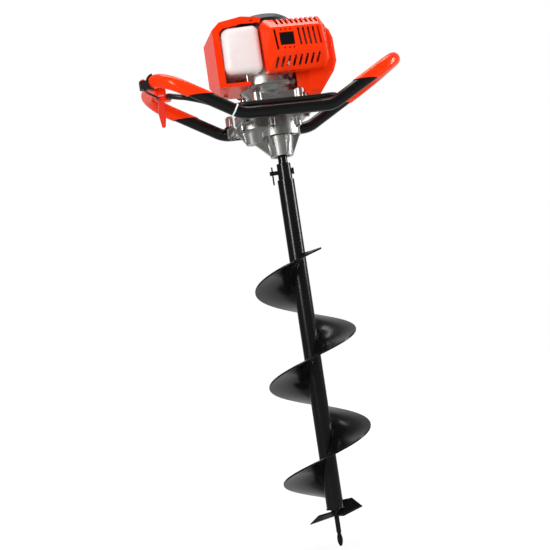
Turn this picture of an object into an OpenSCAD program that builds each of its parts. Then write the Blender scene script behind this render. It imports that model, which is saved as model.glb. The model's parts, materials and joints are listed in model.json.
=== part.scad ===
// Petrol earth auger: a two-stroke engine head with a ring handle, a two-stage gearbox and a drill bit.
// Millimetres. +Z runs up the drill axis, the origin is the tip of the pilot point.
// -Y is the exhaust side, +X the cylinder side, -X the tank and throttle side.

/* [Drill bit] */
// Diameter of the hole that the flight cuts
flight_d = 200; // [140:5:260]
// Rise of the flight in one turn
flight_pitch = 203; // [160:1:220]
// Turns of flight
flight_turns = 2.58; // [1.5:0.01:2.6]
// Thickness of the flight plate
flight_t = 4; // [2.5:0.5:6]
// Outside diameter of the centre tube
tube_d = 36; // [34:1:44]
// Wall of the centre tube
tube_wall = 3; // [2:0.5:4]
// Length of the centre tube
tube_len = 700; // [630:10:900]
// Height of the tube's lower end above the tip
pilot_len = 79; // [70:1:100]
// Diameter of the pilot shank
pilot_d = 9; // [8:0.5:12]
// Tip to tip span of the two cutting blades
blade_span = 122; // [100:2:150]
// Thickness of the cutting blades
blade_t = 5; // [4:0.5:7]
// Length of the socket above the tube
socket_len = 35; // [30:1:50]
// Diameter of the output shaft that the socket takes
shaft_d = 20; // [18:0.5:22]
// Diameter of the coupling pin
pin_d = 9; // [6:0.5:10]

/* [Gearbox] */
// Bare shaft between the socket and the nozzle
coupling_gap = 16; // [10:1:30]
// Outside radius of the nozzle's lower end
nozzle_r = 24.5; // [23.5:0.5:28]
// Centre distance of the two gear stages
gear_a = 45; // [45:1:45]
// Teeth of the drive pinion
drive_teeth = 11; // [11:1:11]
// Teeth of the idler pinion
idler_pinion_teeth = 10; // [10:1:10]
// Tooth module of the first stage
module_1 = 1.25; // [1.25:0.25:1.25]
// Tooth module of the second stage
module_2 = 1.5; // [1.5:0.5:1.5]
// Face width of the output gear
out_gear_w = 16; // [12:1:16]
// Face width of the idler gear
idler_gear_w = 12; // [9:1:12]
// Wall of the gear case
case_wall = 5.5; // [4:0.5:7]
// Height of the gearbox cover
cover_h = 38; // [36:1:44]

/* [Handle ring] */
// Diameter of the handle tube
ring_tube_d = 26; // [22:1:28]
// Thickness of the dipped grip skin
grip_wall = 1.5; // [1:0.25:2]
// Distance between the front and rear tubes
ring_w = 218; // [214:1:230]
// Half width of the flat middle, to the knee
knee_x = 97; // [94:1:110]
// Rise angle of both arms
rise = 30; // [24:1:34]
// Half width of the ring, to the end tube
ring_end_x = 260; // [250:1:280]
// Radius of the end corners
corner_r = 60; // [50:1:70]
// Radius of the knees
knee_r = 60; // [40:1:70]
// Height of the dip line above the flat tubes
dip_h = 46; // [36:1:56]

/* [Engine] */
// Half side of the clutch housing's bolt square
bolt_half = 46.5; // [44:0.5:47]
// Height of the clutch housing's square flange
block_h = 27; // [20:1:30]
// Height of the neck between the flange and the fan housing
neck_h = 38; // [34:1:46]
// Outside radius of the fan housing
fan_r = 62; // [60:0.5:64]
// Height of the fan housing
fan_h = 24; // [22:1:30]
// Height of the crankcase
crankcase_h = 71; // [66:1:76]
// Height of the recoil starter
starter_h = 37; // [36:1:44]
// Radius of the crankshaft at its bearings
crank_r = 7.5; // [7:0.25:8]
// Number of fan blades on the flywheel
fan_blades = 16; // [12:1:20]
// Number of cooling fins
fins = 8; // [6:1:9]
// Wall of the moulded covers
cover_wall = 2.5; // [2:0.25:3]

/* [Controls] */
// Length of the throttle lever
lever_len = 99; // [80:1:104]
// Angle that the lever hangs below level
lever_drop = 24; // [20:1:28]
// How far the lever's tip swings towards the engine
lever_bend = 11; // [0:1:14]
// Diameter of the throttle conduit
conduit_d = 11; // [8:0.5:11]
// Diameter of the switch wire
wire_d = 3; // [2:0.25:3.5]

/* [Fits] */
// Running clearance of shafts
run_gap = 0.06; // [0.03:0.01:0.1]
// Gap between seated pieces
seat_gap = 0.1; // [0.05:0.05:0.2]
// Gap between pieces that pass each other
pass_gap = 0.6; // [0.4:0.1:0.8]

/* [Hidden] */
$fn = 64;
eps = 0.01;
// The bends of the handle tube are a hair fuller than its straights, which run a little way into them
bend_swell = 0.1;
weld = 0.5;
orange = "OrangeRed";

// Heights up the drill axis
tube_top = pilot_len + tube_len;
socket_top = tube_top + socket_len;
nozzle_z = socket_top + coupling_gap;
seal_w = 7;
bearing_w = 12;
lower_bearing_z = nozzle_z + seal_w + 1;
upper_bearing_z = lower_bearing_z + bearing_w + 8;
collar_h = 4;
out_gear_z = upper_bearing_z + bearing_w + collar_h;
case_top = out_gear_z + out_gear_w + 7;
idler_gear_z = case_top + 3;
cover_top = case_top + cover_h;
block_top = cover_top + block_h;
fan_z = block_top + neck_h;
crankcase_z = fan_z + fan_h;
starter_z = crankcase_z + crankcase_h;
starter_top = starter_z + starter_h;
cyl_z = crankcase_z + crankcase_h / 2;

// Gear train
pressure_angle = 25;
addendum = 0.8;
dedendum = 1.05;
backlash = 0.2;
idler_gear_teeth = round(2 * gear_a / module_1) - drive_teeth;
out_gear_teeth = round(2 * gear_a / module_2) - idler_pinion_teeth;
idler_gear_tip = module_1 * (idler_gear_teeth / 2 + addendum);
out_gear_tip = module_2 * (out_gear_teeth / 2 + addendum);
gear_room = 1.5;
small_bearing_w = 8;
idler_r = 5;
drive_r = 6;
idler_bearing_r = 13;
drive_bearing_r = 14;
out_bearing_r = 21;
seal_r = 17.5;
case_r = max(out_gear_tip, idler_gear_tip) + gear_room + case_wall;
flange_t = 8;
case_bolt_d = 5;
case_bolt_r = case_r + 3;
case_bolt_at = [[case_bolt_r * cos(40), case_bolt_r * sin(40)], [-gear_a / 2, case_bolt_r],
    [-gear_a - case_bolt_r * cos(40), case_bolt_r * sin(40)]];
rib_count = 6;

// Ears that carry the handle ring
ear_bolt_d = 8;
ear_r = 10;
ear_x = [-84, 44];
ear_y = ring_w / 2 - 25;
ear_z0 = case_top + 2;
ear_z1 = case_top + 21;
tab_t = 4;
tab_w = 26;
tube_r = ring_tube_d / 2;
grip_r = tube_r + grip_wall;
frame_z = ear_z1 + tab_t - tube_r;
knee_t = knee_r * tan(rise / 2);
arm_len = (ring_end_x - knee_x) / cos(rise);
end_z = frame_z + arm_len * sin(rise);
dip_z = frame_z + dip_h;
cross_half = ring_w / 2 - corner_r;

// Throttle control on the left end tube
lever_x = -ring_end_x + 12;
lever_y = -cross_half + 4;
lever_z = end_z - grip_r - 19;
lever_w = 13;
pivot_r = 3;
clamp_wall = 3;
clamp_w = 12;
cheek = 4;
boss_w = 12;
boss_x = lever_x + lever_w / 2 + pass_gap + boss_w / 2;
boss_y = lever_y - clamp_w / 2 - 6;
switch_y = -cross_half - 11;
switch_x = -ring_end_x - grip_r - 9;
switch_low = 15;
button_r = 4.5;
button_travel = 2;

// Clutch and crank
clutch_floor_z = cover_top + 5;
clutch_r = 39;
clutch_wall = 3;
clutch_depth = 20;
shoe_z = clutch_floor_z + 8;
shoe_h = 12;
neck_r = 51;
clutch_cavity_r = clutch_r + 3;
housing_wall = 4;
flywheel_r = fan_r - housing_wall - 4;
crank_bearing_r = 17.5;
crank_bearing_w = 11;
cyl_x0 = 44;
crankcase_r = cyl_x0 - 0.5;
crank_low_z = clutch_floor_z + 7;
crank_top_z = starter_z + 12;
housing_bolt_d = 6;
boss_r = 11;
// The bell between the flange and the fan housing stands a little to the tank side
bell_shift = -8;
bell_r = fan_r + 1;

// Cylinder, muffler and covers
barrel_r = 30;
fin_t = 2.4;
fin_half = 40 - cover_wall - seat_gap;
cyl_x1 = cyl_x0 + 64;
fin_pitch = (cyl_x1 - cyl_x0 - 9) / fins;
shroud_y = [-58, 46];
guard_front_y = -112;
guard_edge_y = -84;
guard_low_z = cyl_z - 64;
muffler_x = [4, 92];
muffler_y = [-98, -fan_r - 1];
muffler_z = [cyl_z - 40, cyl_z + 26];
port_x = 66;
rake = 5;
tank_x = [-110.5, -28];
tank_y = [-80, 36];
tank_z = [cyl_z - 59, cyl_z + 42];
tank_round = 15;
tank_crown = 22;
tank_guard_x = -127;
tank_guard_y = [-70, 42];
tank_guard_z = tank_z[0] - 26;
tank_lip = [15, 8];
guard_wall = cover_wall + 0.5;
carb_x = 40;
carb_y = 50;
carb_z = cyl_z;
filter_y = 82;
post_at = [[-62, -56], [-100, 10]];
screen_x = [5, 36];
screen_z = [cyl_z - 17, cyl_z + 10];

// A point beside the left arm's front tube: along it from the knee, back from its axis, square above it
function on_arm(along, back, above) = [-knee_x - along * cos(rise) + above * sin(rise), back - ring_w / 2,
    frame_z + along * sin(rise) + above * cos(rise)];
// Route of the throttle conduit, from the bracket to the carburettor
conduit_route = [
    [boss_x, boss_y - seat_gap, lever_z], [boss_x, boss_y - 7, lever_z],
    [boss_x + 5, boss_y - 19, lever_z - 5], [boss_x + 18, boss_y - 30, lever_z - 12],
    on_arm(116, 19, -14.6), on_arm(83, 21, -6.5), on_arm(55, 20, -2.3), on_arm(38, 19, 2),
    on_arm(24, 18, 8.5), on_arm(10, 14, 17.5),
    for (x = [-84, -40, 0, 44]) [x, 6.5 - ring_w / 2, frame_z + 21],
    [75, 9 - ring_w / 2, frame_z + 21], [100, 16 - ring_w / 2, frame_z + 23], [116, -76, frame_z + 25],
    [122, -50, frame_z + 25], [118, -10, frame_z + 25], [108, 30, frame_z + 27], [94, 58, frame_z + 39],
    [74, 68, carb_z - 81], [54, carb_y + 18, carb_z - 54], [carb_x + 8, carb_y + 18, carb_z - 42],
    [carb_x + 8, carb_y + 18, carb_z - 30 - seat_gap]];
// Route of the switch wire, from the switch to the bracket
wire_route = [
    [switch_x + 2.5, switch_y, end_z - switch_low - seat_gap],
    [switch_x + 2.5, switch_y, end_z - switch_low - 5],
    [-ring_end_x - 17, switch_y - 4, end_z - 29], [-ring_end_x - 9, switch_y - 5, end_z - 36],
    [-ring_end_x - 1, switch_y - 3, end_z - 38], [lever_x - lever_w / 2 - 2, switch_y + 1, lever_z],
    [lever_x - lever_w / 2 - 2, lever_y - clamp_w / 2 - seat_gap, lever_z]];

// Small shapes
module disc(r, z0, z1) translate([0, 0, z0]) cylinder(r = r, h = z1 - z0);
module rod_x(p, r, l) translate(p) rotate([0, 90, 0]) cylinder(r = r, h = l);
module rod_y(p, r, l) translate(p) rotate([-90, 0, 0]) cylinder(r = r, h = l);
module box(x, y, z) translate([x[0], y[0], z[0]]) cube([x[1] - x[0], y[1] - y[0], z[1] - z[0]]);
module washer(ro, ri, z0, z1) difference() { disc(ro, z0, z1); disc(ri, z0 - 1, z1 + 1); }
// A profile drawn in x and z, extruded from y0 back to y1
module plate_y(y0, y1) translate([0, y1, 0]) rotate([90, 0, 0]) linear_extrude(y1 - y0) children();
// A slot with round ends, standing in the x-z plane and cut along y
module slot_y(x, z, w, h, lean, y0, y1) translate([x, 0, z]) rotate([0, lean, 0]) {
    box([-w / 2, w / 2], [y0, y1], [-h / 2 + w / 2, h / 2 - w / 2]);
    for (s = [-1, 1]) rod_y([0, y0, s * (h / 2 - w / 2)], w / 2, y1 - y0);
}
// A hexagon bolt whose head rests on z = 0 and whose shank runs down
module bolt_down(d, len) {
    translate([0, 0, -len]) cylinder(d = d, h = len);
    cylinder(d = 1.8 * d, h = 0.65 * d, $fn = 6);
}
// Shaft bearings, as closed rings that grip the shaft
module bearing(ro, ri, z0, w) washer(ro - seat_gap / 2, ri + seat_gap / 2, z0, z0 + w);

// Involute outline: half the tooth's angle at radius rho
function involute(a) = tan(a) * 180 / PI - a;
function half_tooth(teeth, m, rho) =
    let (r = m * teeth / 2, rb = r * cos(pressure_angle))
    90 / teeth - backlash / (4 * r) * 180 / PI + involute(pressure_angle)
        - involute(acos(min(1, rb / max(rho, rb))));
function gear_outline(teeth, m, phase) =
    let (r = m * teeth / 2, low = r - dedendum * m, high = r + addendum * m, step = (high - low) / 3)
    [for (i = [0:teeth - 1], side = [-1, 1], k = [0:3])
        let (rho = side < 0 ? low + k * step : high - k * step, t = phase + 360 * i / teeth
            + side * half_tooth(teeth, m, rho))
        [rho * cos(t), rho * sin(t)]];
module gear(teeth, m, phase, z, w) translate([0, 0, z])
    linear_extrude(w) polygon(gear_outline(teeth, m, phase));

// A tube swept along points: each ring stands square to the mean of its two neighbours
function unit(v) = v / norm(v);
function tangent(p, i) = unit(p[min(i + 1, len(p) - 1)] - p[max(i - 1, 0)]);
function side_of(t) = unit(cross(t, abs(t[2]) < 0.8 ? [0, 0, 1] : [1, 0, 0]));
module swept(p, r, sides) {
    points = [for (i = [0:len(p) - 1], k = [0:sides - 1])
        let (t = tangent(p, i), a = side_of(t), b = cross(t, a), f = 360 * k / sides)
        p[i] + r * (cos(f) * a + sin(f) * b)];
    walls = [for (i = [0:len(p) - 2], k = [0:sides - 1], half = [0, 1])
        let (n = (k + 1) % sides, o = i * sides)
        half == 0 ? [o + k, o + n, o + sides + n] : [o + k, o + sides + n, o + sides + k]];
    caps = [for (k = [1:sides - 2], half = [0, 1])
        let (o = (len(p) - 1) * sides)
        half == 0 ? [0, k + 1, k] : [o, o + k, o + k + 1]];
    polyhedron(points, concat(walls, caps));
}

// Handle ring
module ring_arm(r) translate([knee_x, 0, frame_z]) rotate([0, -rise, 0]) {
    for (s = [-1, 1]) {
        rod_x([knee_t - weld, s * ring_w / 2, 0], r, arm_len - corner_r - knee_t + 2 * weld);
        translate([arm_len - corner_r, s * cross_half, 0]) rotate([0, 0, s < 0 ? -90 : 0])
            rotate_extrude(angle = 90) translate([corner_r, 0]) circle(r + bend_swell);
    }
    rod_y([arm_len, -cross_half - weld, 0], r, 2 * (cross_half + weld));
}
module ring_knee(r) for (s = [-1, 1]) translate([knee_x - knee_t, s * ring_w / 2, frame_z + knee_r])
    rotate([0, 90, 0]) rotate([90, 0, 0]) rotate_extrude(angle = rise) translate([knee_r, 0])
    circle(r + bend_swell);
module ring_flat(r) for (s = [-1, 1])
    rod_x([knee_t - knee_x - weld, s * ring_w / 2, frame_z], r, 2 * (knee_x - knee_t + weld));
module both_ends() {
    children();
    mirror([1, 0, 0]) children();
}
module ring_rod(r) {
    ring_flat(r);
    both_ends() {
        ring_knee(r);
        ring_arm(r);
    }
}
module handle_frame() color("#1a1a1a") difference() {
    union() {
        ring_rod(tube_r);
        for (x = ear_x, s = [-1, 1]) {
            box([x - tab_w / 2, x + tab_w / 2], s < 0 ? [-ring_w / 2, -ear_y] : [ear_y, ring_w / 2],
                [ear_z1, ear_z1 + tab_t]);
            translate([x, s * ear_y, 0]) disc(tab_w / 2, ear_z1, ear_z1 + tab_t);
        }
    }
    at_ears() disc(ear_bolt_d / 2 + seat_gap, ear_z1 - 1, ear_z1 + tab_t + 1);
}
module grip_right() difference() {
    intersection() {
        ring_arm(grip_r);
        box([knee_x, ring_end_x + 2 * grip_r], [-ring_w, ring_w], [dip_z, end_z + 2 * grip_r]);
    }
    ring_arm(tube_r + seat_gap / 2);
}
module right_grip() color(orange) grip_right();
module left_grip() color(orange) mirror([1, 0, 0]) grip_right();

// Throttle bracket, lever and switch on the left end tube
module left_end(r) mirror([1, 0, 0]) ring_arm(r);
module throttle_bracket() color(orange) difference() {
    union() {
        rod_y([-ring_end_x, lever_y - clamp_w / 2, end_z], grip_r + clamp_wall, clamp_w);
        box([lever_x - lever_w / 2 - cheek, lever_x + lever_w / 2 + cheek],
            [lever_y - clamp_w / 2, lever_y + clamp_w / 2], [lever_z, end_z]);
        rod_x([lever_x - lever_w / 2 - cheek, lever_y, lever_z], clamp_w / 2, lever_w + 2 * cheek);
        box([boss_x - boss_w / 2, boss_x + boss_w / 2], [boss_y, lever_y + clamp_w / 2],
            [lever_z - 7, lever_z + 7]);
    }
    left_end(grip_r + seat_gap);
    box([lever_x - lever_w / 2 - pass_gap, lever_x + lever_w / 2 + pass_gap],
        [lever_y - clamp_w, lever_y + clamp_w], [lever_z - clamp_w, lever_z + clamp_w / 2 + 2]);
    rod_x([lever_x - lever_w, lever_y, lever_z], pivot_r + seat_gap / 2, 2 * lever_w);
}
module lever_waist() translate([lever_bend * 0.45, lever_len * 0.5, -3]) cylinder(r = 8, h = 8, $fn = 32);
module throttle_lever() color("red") difference() {
    translate([lever_x, lever_y, lever_z]) rotate([-lever_drop, 0, 0]) union() {
        rod_x([-lever_w / 2, 0, 0], clamp_w / 2, lever_w);
        hull() {
            rod_x([1 - lever_w / 2, 4, 0], 4.5, lever_w - 2, $fn = 32);
            lever_waist();
        }
        hull() {
            lever_waist();
            translate([lever_bend, lever_len - 4, -2]) cylinder(r = 4, h = 7, $fn = 32);
        }
    }
    rod_x([lever_x - lever_w, lever_y, lever_z], pivot_r + run_gap, 2 * lever_w);
}
module lever_pivot() color("silver")
    rod_x([lever_x - lever_w / 2 - cheek - 1.5, lever_y, lever_z], pivot_r, lever_w + 2 * cheek);
// The switch box sits in a half saddle on the outer side of the grip
module switch_housing() color("#202020") difference() {
    union() {
        intersection() {
            rod_y([-ring_end_x, switch_y - 4, end_z], grip_r + 3, 8);
            box([-ring_end_x - 2 * grip_r, -ring_end_x - 3], [switch_y - 8, switch_y + 8],
                [end_z - 2 * grip_r, end_z + 2 * grip_r]);
        }
        box([switch_x - button_r - 3, -ring_end_x - grip_r + 2], [switch_y - 8, switch_y + 8],
            [end_z - switch_low, end_z + 3]);
    }
    left_end(grip_r + seat_gap);
    translate([switch_x, switch_y, 0]) disc(button_r + 0.3, end_z - 8, end_z + 10);
}
module kill_button() color("red") translate([switch_x, switch_y, 0]) union() {
    disc(button_r, end_z - 8 + button_travel + 0.5, end_z + 6);
    disc(button_r - 1, end_z + 4, end_z + 7);
}
module switch_wire() color("#151515") swept(wire_route, wire_d / 2, 8);
module throttle_conduit() color("#181818") swept(conduit_route, conduit_d / 2, 10);
// Nylon tie round the front tube and the conduit, just above the left knee
module tie_loop(wall) hull() {
    circle(tube_r + 0.4 + wall);
    translate([8.5, 18]) circle(conduit_d / 2 + 2.5 + wall);
}
tie_tail = on_arm(24.4, -4.4, -13.3);
module cable_tie() color("white") {
    translate(on_arm(22, 0, 0)) rotate([0, rise, 0]) rotate([0, -90, 0]) linear_extrude(4.8) difference() {
        tie_loop(1.2);
        tie_loop(0);
    }
    translate(tie_tail) box([-2.2, 2.2], [-0.65, 0.65], [-30, -0.7]);
}

// Gearbox castings
module lobes(r, z0, z1) {
    disc(r, z0, z1);
    translate([-gear_a, 0, 0]) disc(r, z0, z1);
    box([-gear_a, 0], [-r, r], [z0, z1]);
}
module at_case_bolts() for (p = case_bolt_at, s = [-1, 1]) translate([p[0], s * p[1], 0]) children();
module at_ears() for (x = ear_x, s = [-1, 1]) translate([x, s * ear_y, 0]) children();
module at_corners() for (x = [-1, 1], y = [-1, 1]) translate([x * bolt_half, y * bolt_half, 0]) children();
sump_x = -gear_a - 11;
sump_r = [17.5, 25];
sump_z = nozzle_z + 32;
sump_floor = 3.5;
idler_low_w = 6.5;
module nozzle_rib() rotate([90, 0, 0]) translate([0, 0, -2.5]) linear_extrude(5)
    polygon([[0, nozzle_z + 4], [nozzle_r + 1, nozzle_z + 4], [case_r - 1, out_gear_z],
        [case_r - 1, case_top - flange_t], [0, case_top - flange_t]]);
module gearbox_case() color("#b9bcbf") difference() {
    union() {
        translate([0, 0, nozzle_z]) cylinder(r1 = nozzle_r, r2 = nozzle_r + 7, h = out_gear_z - nozzle_z);
        for (i = [0:rib_count - 1]) rotate([0, 0, -14 + 360 / rib_count * i]) nozzle_rib();
        disc(case_r, out_gear_z - 2, case_top);
        lobes(case_r, case_top - flange_t, case_top);
        for (x = [-gear_a, sump_x]) translate([x, 0, sump_z])
            cylinder(r1 = sump_r[0], r2 = sump_r[1], h = case_top - sump_z);
        translate([sump_x, 0, 0]) rotate([90, 0, 90]) linear_extrude(-gear_a - sump_x)
            polygon([[weld - sump_r[0], sump_z], [sump_r[0] - weld, sump_z],
                [sump_r[1] - weld, case_top], [weld - sump_r[1], case_top]]);
        plate_y(-4, 4) polygon([[sump_x, sump_z], [-nozzle_r + 1, nozzle_z + 2], [0, nozzle_z + 2],
            [0, sump_z + 10], [sump_x, sump_z + 10]]);
        at_case_bolts() disc(7, case_top - flange_t, case_top);
    }
    disc(seal_r, nozzle_z - 1, nozzle_z + seal_w + 0.2);
    disc(out_bearing_r, lower_bearing_z, lower_bearing_z + bearing_w);
    disc(shaft_d / 2 + 4, nozzle_z, out_gear_z);
    disc(out_bearing_r, upper_bearing_z, out_gear_z);
    disc(out_gear_tip + gear_room, out_gear_z - collar_h + 2, case_top + 1);
    translate([-gear_a, 0, 0]) disc(idler_bearing_r, sump_z + sump_floor, case_top + 1);
    at_case_bolts() {
        disc(case_bolt_d / 2 + seat_gap, case_top - flange_t - 1, case_top + 1);
        disc(case_bolt_d, case_top - flange_t - 12, case_top - flange_t);
    }
}
module gearbox_cover() color("#b4b7ba") difference() {
    union() {
        lobes(case_r, case_top, cover_top - 12);
        disc(case_r, case_top, cover_top);
        at_case_bolts() disc(7, case_top, case_top + flange_t);
        at_corners() disc(boss_r, cover_top - 18, cover_top);
        box([-bolt_half, bolt_half], [-bolt_half, bolt_half], [cover_top - 10, cover_top]);
        at_ears() disc(ear_r, ear_z0, ear_z1);
        for (x = ear_x) box([x - 8, x + 8], [-ear_y, ear_y], [ear_z0, ear_z1 - 4]);
        box([ear_x[0], ear_x[1]], [-12, 12], [ear_z0, ear_z1 - 4]);
    }
    lobes_cavity();
    disc(drive_bearing_r, case_top, drive_bearing_z + 2 * small_bearing_w);
    translate([-gear_a, 0, 0]) disc(idler_bearing_r, case_top, drive_bearing_z + small_bearing_w);
    disc(drive_r + 2, case_top, cover_top + 1);
    at_case_bolts() disc(case_bolt_d / 2 + seat_gap, case_top - 1, case_top + flange_t + 1);
    at_corners() disc(housing_bolt_d / 2 + seat_gap, cover_top - 14, cover_top + 1);
    at_ears() disc(ear_bolt_d / 2 + seat_gap, ear_z0 - 1, ear_z1 + 1);
}
drive_bearing_z = idler_gear_z + idler_gear_w + 3;
module lobes_cavity() {
    translate([-gear_a, 0, 0]) disc(idler_gear_tip + gear_room, case_top - 1, drive_bearing_z - 1);
    disc(drive_bearing_r - 1, case_top - 1, drive_bearing_z - 1);
}
module gearbox_bolts() color("silver") at_case_bolts() translate([0, 0, case_top - flange_t])
    mirror([0, 0, 1]) bolt_down(case_bolt_d, 2 * flange_t - 2);
spacer_h = 17;
module frame_bolts() color("silver") at_ears() {
    translate([0, 0, ear_z0]) mirror([0, 0, 1])
        bolt_down(ear_bolt_d, ear_z1 + tab_t + spacer_h + 7 - ear_z0);
    disc(ear_bolt_d, ear_z1 + tab_t, ear_z1 + tab_t + spacer_h);
    translate([0, 0, ear_z1 + tab_t + spacer_h]) cylinder(d = 1.7 * ear_bolt_d, h = 6, $fn = 6);
}

// Gear train
module output_shaft() color("silver") difference() {
    union() {
        disc(shaft_d / 2, socket_top - socket_len + 3, out_gear_z);
        disc(shaft_d / 2 + 3, out_gear_z - collar_h + 0.2, out_gear_z);
        disc(shaft_d / 2 - 1, out_gear_z, out_gear_z + out_gear_w + 3);
    }
    cross_pin(pin_d / 2 + seat_gap / 2);
}
module output_gear() color("#8d9094") difference() {
    gear(out_gear_teeth, module_2, 0, out_gear_z, out_gear_w);
    disc(shaft_d / 2 - 1 + seat_gap / 2, out_gear_z - 1, out_gear_z + out_gear_w + 1);
    for (i = [0:5]) rotate([0, 0, 60 * i]) translate([out_gear_tip * 0.55, 0, 0])
        disc(6, out_gear_z - 1, out_gear_z + out_gear_w + 1);
}
module output_bearings() color("silver") {
    bearing(out_bearing_r, shaft_d / 2, lower_bearing_z, bearing_w);
    bearing(out_bearing_r, shaft_d / 2, upper_bearing_z, bearing_w);
}
module output_seal() color("#222222")
    washer(seal_r - seat_gap / 2, shaft_d / 2 + run_gap, nozzle_z, nozzle_z + seal_w);
module idler_shaft() color("silver") translate([-gear_a, 0, 0]) {
    disc(idler_r, sump_z + sump_floor + 0.5, out_gear_z);
    gear(idler_pinion_teeth, module_2, 180 / idler_pinion_teeth, out_gear_z - 1, out_gear_w + 2);
    disc(idler_r + 2, out_gear_z + out_gear_w, idler_gear_z + idler_gear_w);
    disc(idler_r + 3.5, out_gear_z + out_gear_w + 2, idler_gear_z);
    disc(idler_r, idler_gear_z, drive_bearing_z + small_bearing_w - 0.3);
}
module idler_gear() color("#8d9094") translate([-gear_a, 0, 0]) difference() {
    gear(idler_gear_teeth, module_1, 0, idler_gear_z, idler_gear_w);
    disc(idler_r + 2 + seat_gap / 2, idler_gear_z - 1, idler_gear_z + idler_gear_w + 1);
    for (i = [0:5]) rotate([0, 0, 60 * i]) translate([idler_gear_tip * 0.58, 0, 0])
        disc(7, idler_gear_z - 1, idler_gear_z + idler_gear_w + 1);
}
module idler_bearings() color("silver") translate([-gear_a, 0, 0]) {
    bearing(idler_bearing_r, idler_r, sump_z + sump_floor, idler_low_w);
    bearing(idler_bearing_r, idler_r, drive_bearing_z, small_bearing_w);
}
module drive_pinion() color("silver") {
    gear(drive_teeth, module_1, 0, idler_gear_z - 1, idler_gear_w + 2);
    disc(drive_r, idler_gear_z + idler_gear_w + 1, clutch_floor_z + 4);
}
module pinion_bearings() color("silver") for (i = [0, 1])
    bearing(drive_bearing_r, drive_r, drive_bearing_z + i * small_bearing_w, small_bearing_w - 0.2);

// Centrifugal clutch
module clutch_drum() color("#7c7f83") difference() {
    union() {
        disc(clutch_r, clutch_floor_z, clutch_floor_z + clutch_depth);
        disc(drive_r + 6, clutch_floor_z - 3, clutch_floor_z);
    }
    disc(clutch_r - clutch_wall, clutch_floor_z + 4, clutch_floor_z + clutch_depth + 1);
    disc(drive_r + seat_gap / 2, clutch_floor_z - 4, clutch_floor_z + 5);
    for (i = [0:5]) rotate([0, 0, 60 * i]) translate([clutch_r * 0.62, 0, 0])
        disc(5, clutch_floor_z - 1, clutch_floor_z + 5);
}
module hub_bar(gap) intersection() {
    disc(30 + gap, shoe_z, shoe_z + shoe_h);
    box([-8 - gap, 8 + gap], [-40, 40], [shoe_z, shoe_z + shoe_h]);
}
module clutch_hub() color("#6f7276") difference() {
    union() {
        hub_bar(0);
        disc(13, shoe_z, shoe_z + shoe_h);
    }
    disc(crank_r - 1 + seat_gap / 2, shoe_z - 1, shoe_z + shoe_h + 1);
}
module clutch_shoes() color("#55585c") difference() {
    washer(clutch_r - clutch_wall - 1.5, 17, shoe_z, shoe_z + shoe_h);
    hub_bar(seat_gap);
    box([-40, 40], [-2, 2], [shoe_z - 1, shoe_z + shoe_h + 1]);
}
module clutch_housing() color("#c2c5c8") difference() {
    union() {
        box([-bolt_half, bolt_half], [-bolt_half, bolt_half], [cover_top, block_top]);
        at_corners() disc(boss_r, cover_top, block_top);
        rotate_extrude() polygon([[0, block_top - 6], [neck_r - 4, block_top - 6],
            [neck_r - 2, block_top + 8], [neck_r + 2, fan_z - 12], [fan_r - 2, fan_z - 2],
            [fan_r, fan_z + 4], [fan_r, crankcase_z], [0, crankcase_z]]);
        translate([bell_shift, 0, 0]) rotate_extrude() polygon([[0, block_top - 4],
            [neck_r - 5, block_top - 4], [neck_r - 1, block_top + 5], [bell_r - 3, block_top + 13],
            [bell_r, block_top + 18], [bell_r - 2, fan_z], [0, fan_z]]);
        box([bell_shift - bell_r - 12, 0], [-9, 9], [tank_guard_z + guard_wall + seat_gap, fan_z - 14]);
    }
    disc(clutch_cavity_r, cover_top - 1, block_top + 6);
    rotate_extrude() polygon([[0, block_top], [clutch_cavity_r, block_top],
        [neck_r - housing_wall, fan_z - 12], [fan_r - housing_wall, fan_z + 2],
        [fan_r - housing_wall, crankcase_z + 1], [0, crankcase_z + 1]]);
    at_corners() disc(housing_bolt_d / 2 + seat_gap, cover_top - 1, block_top + 1);
}
module housing_bolts() color("silver") at_corners() translate([0, 0, block_top])
    bolt_down(housing_bolt_d, block_h + 12);

// Engine core
module crankshaft() color("silver") {
    disc(crank_r - 1, crank_low_z, fan_z - 2);
    disc(crank_r, fan_z - 2, crank_top_z);
}
module crank_bearings() color("silver") {
    bearing(crank_bearing_r, crank_r, crankcase_z + 2, crank_bearing_w);
    bearing(crank_bearing_r, crank_r, starter_z - 2 - crank_bearing_w, crank_bearing_w);
}
module flywheel() color("#9a9da1") difference() {
    union() {
        disc(flywheel_r - 16, fan_z, fan_z + 16);
        disc(flywheel_r, fan_z, fan_z + 3);
        for (i = [0:fan_blades - 1]) rotate([0, 0, 360 / fan_blades * i])
            box([flywheel_r - 18, flywheel_r], [-1.25, 1.25], [fan_z, fan_z + 18]);
    }
    disc(crank_r + seat_gap / 2, fan_z - 1, fan_z + 20);
}
module crankcase() color("#aeb1b4") difference() {
    union() {
        disc(fan_r, crankcase_z, crankcase_z + 5);
        disc(crankcase_r, crankcase_z, starter_z);
        disc(fan_r, starter_z - 5, starter_z);
        box([0, cyl_x0], [-36, 36], [cyl_z - 34, cyl_z + 34]);
        box([crankcase_r - 14, cyl_x0], [0, shroud_y[1] - cover_wall - seat_gap], [cyl_z + 16, cyl_z + 30]);
        box([crankcase_r - 14, fan_r + 14], [fin_half + 2, shroud_y[1] - cover_wall - seat_gap],
            [cyl_z + 16, cyl_z + 30]);
    }
    disc(crank_r + 2, crankcase_z - 1, starter_z + 1);
    disc(crank_bearing_r, crankcase_z + 2, crankcase_z + 2 + crank_bearing_w);
    disc(crank_r + 6, crankcase_z - 1, crankcase_z + 3);
    disc(crank_bearing_r, starter_z - 2 - crank_bearing_w, starter_z - 2);
    disc(crank_r + 6, starter_z - 3, starter_z + 1);
}
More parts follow.
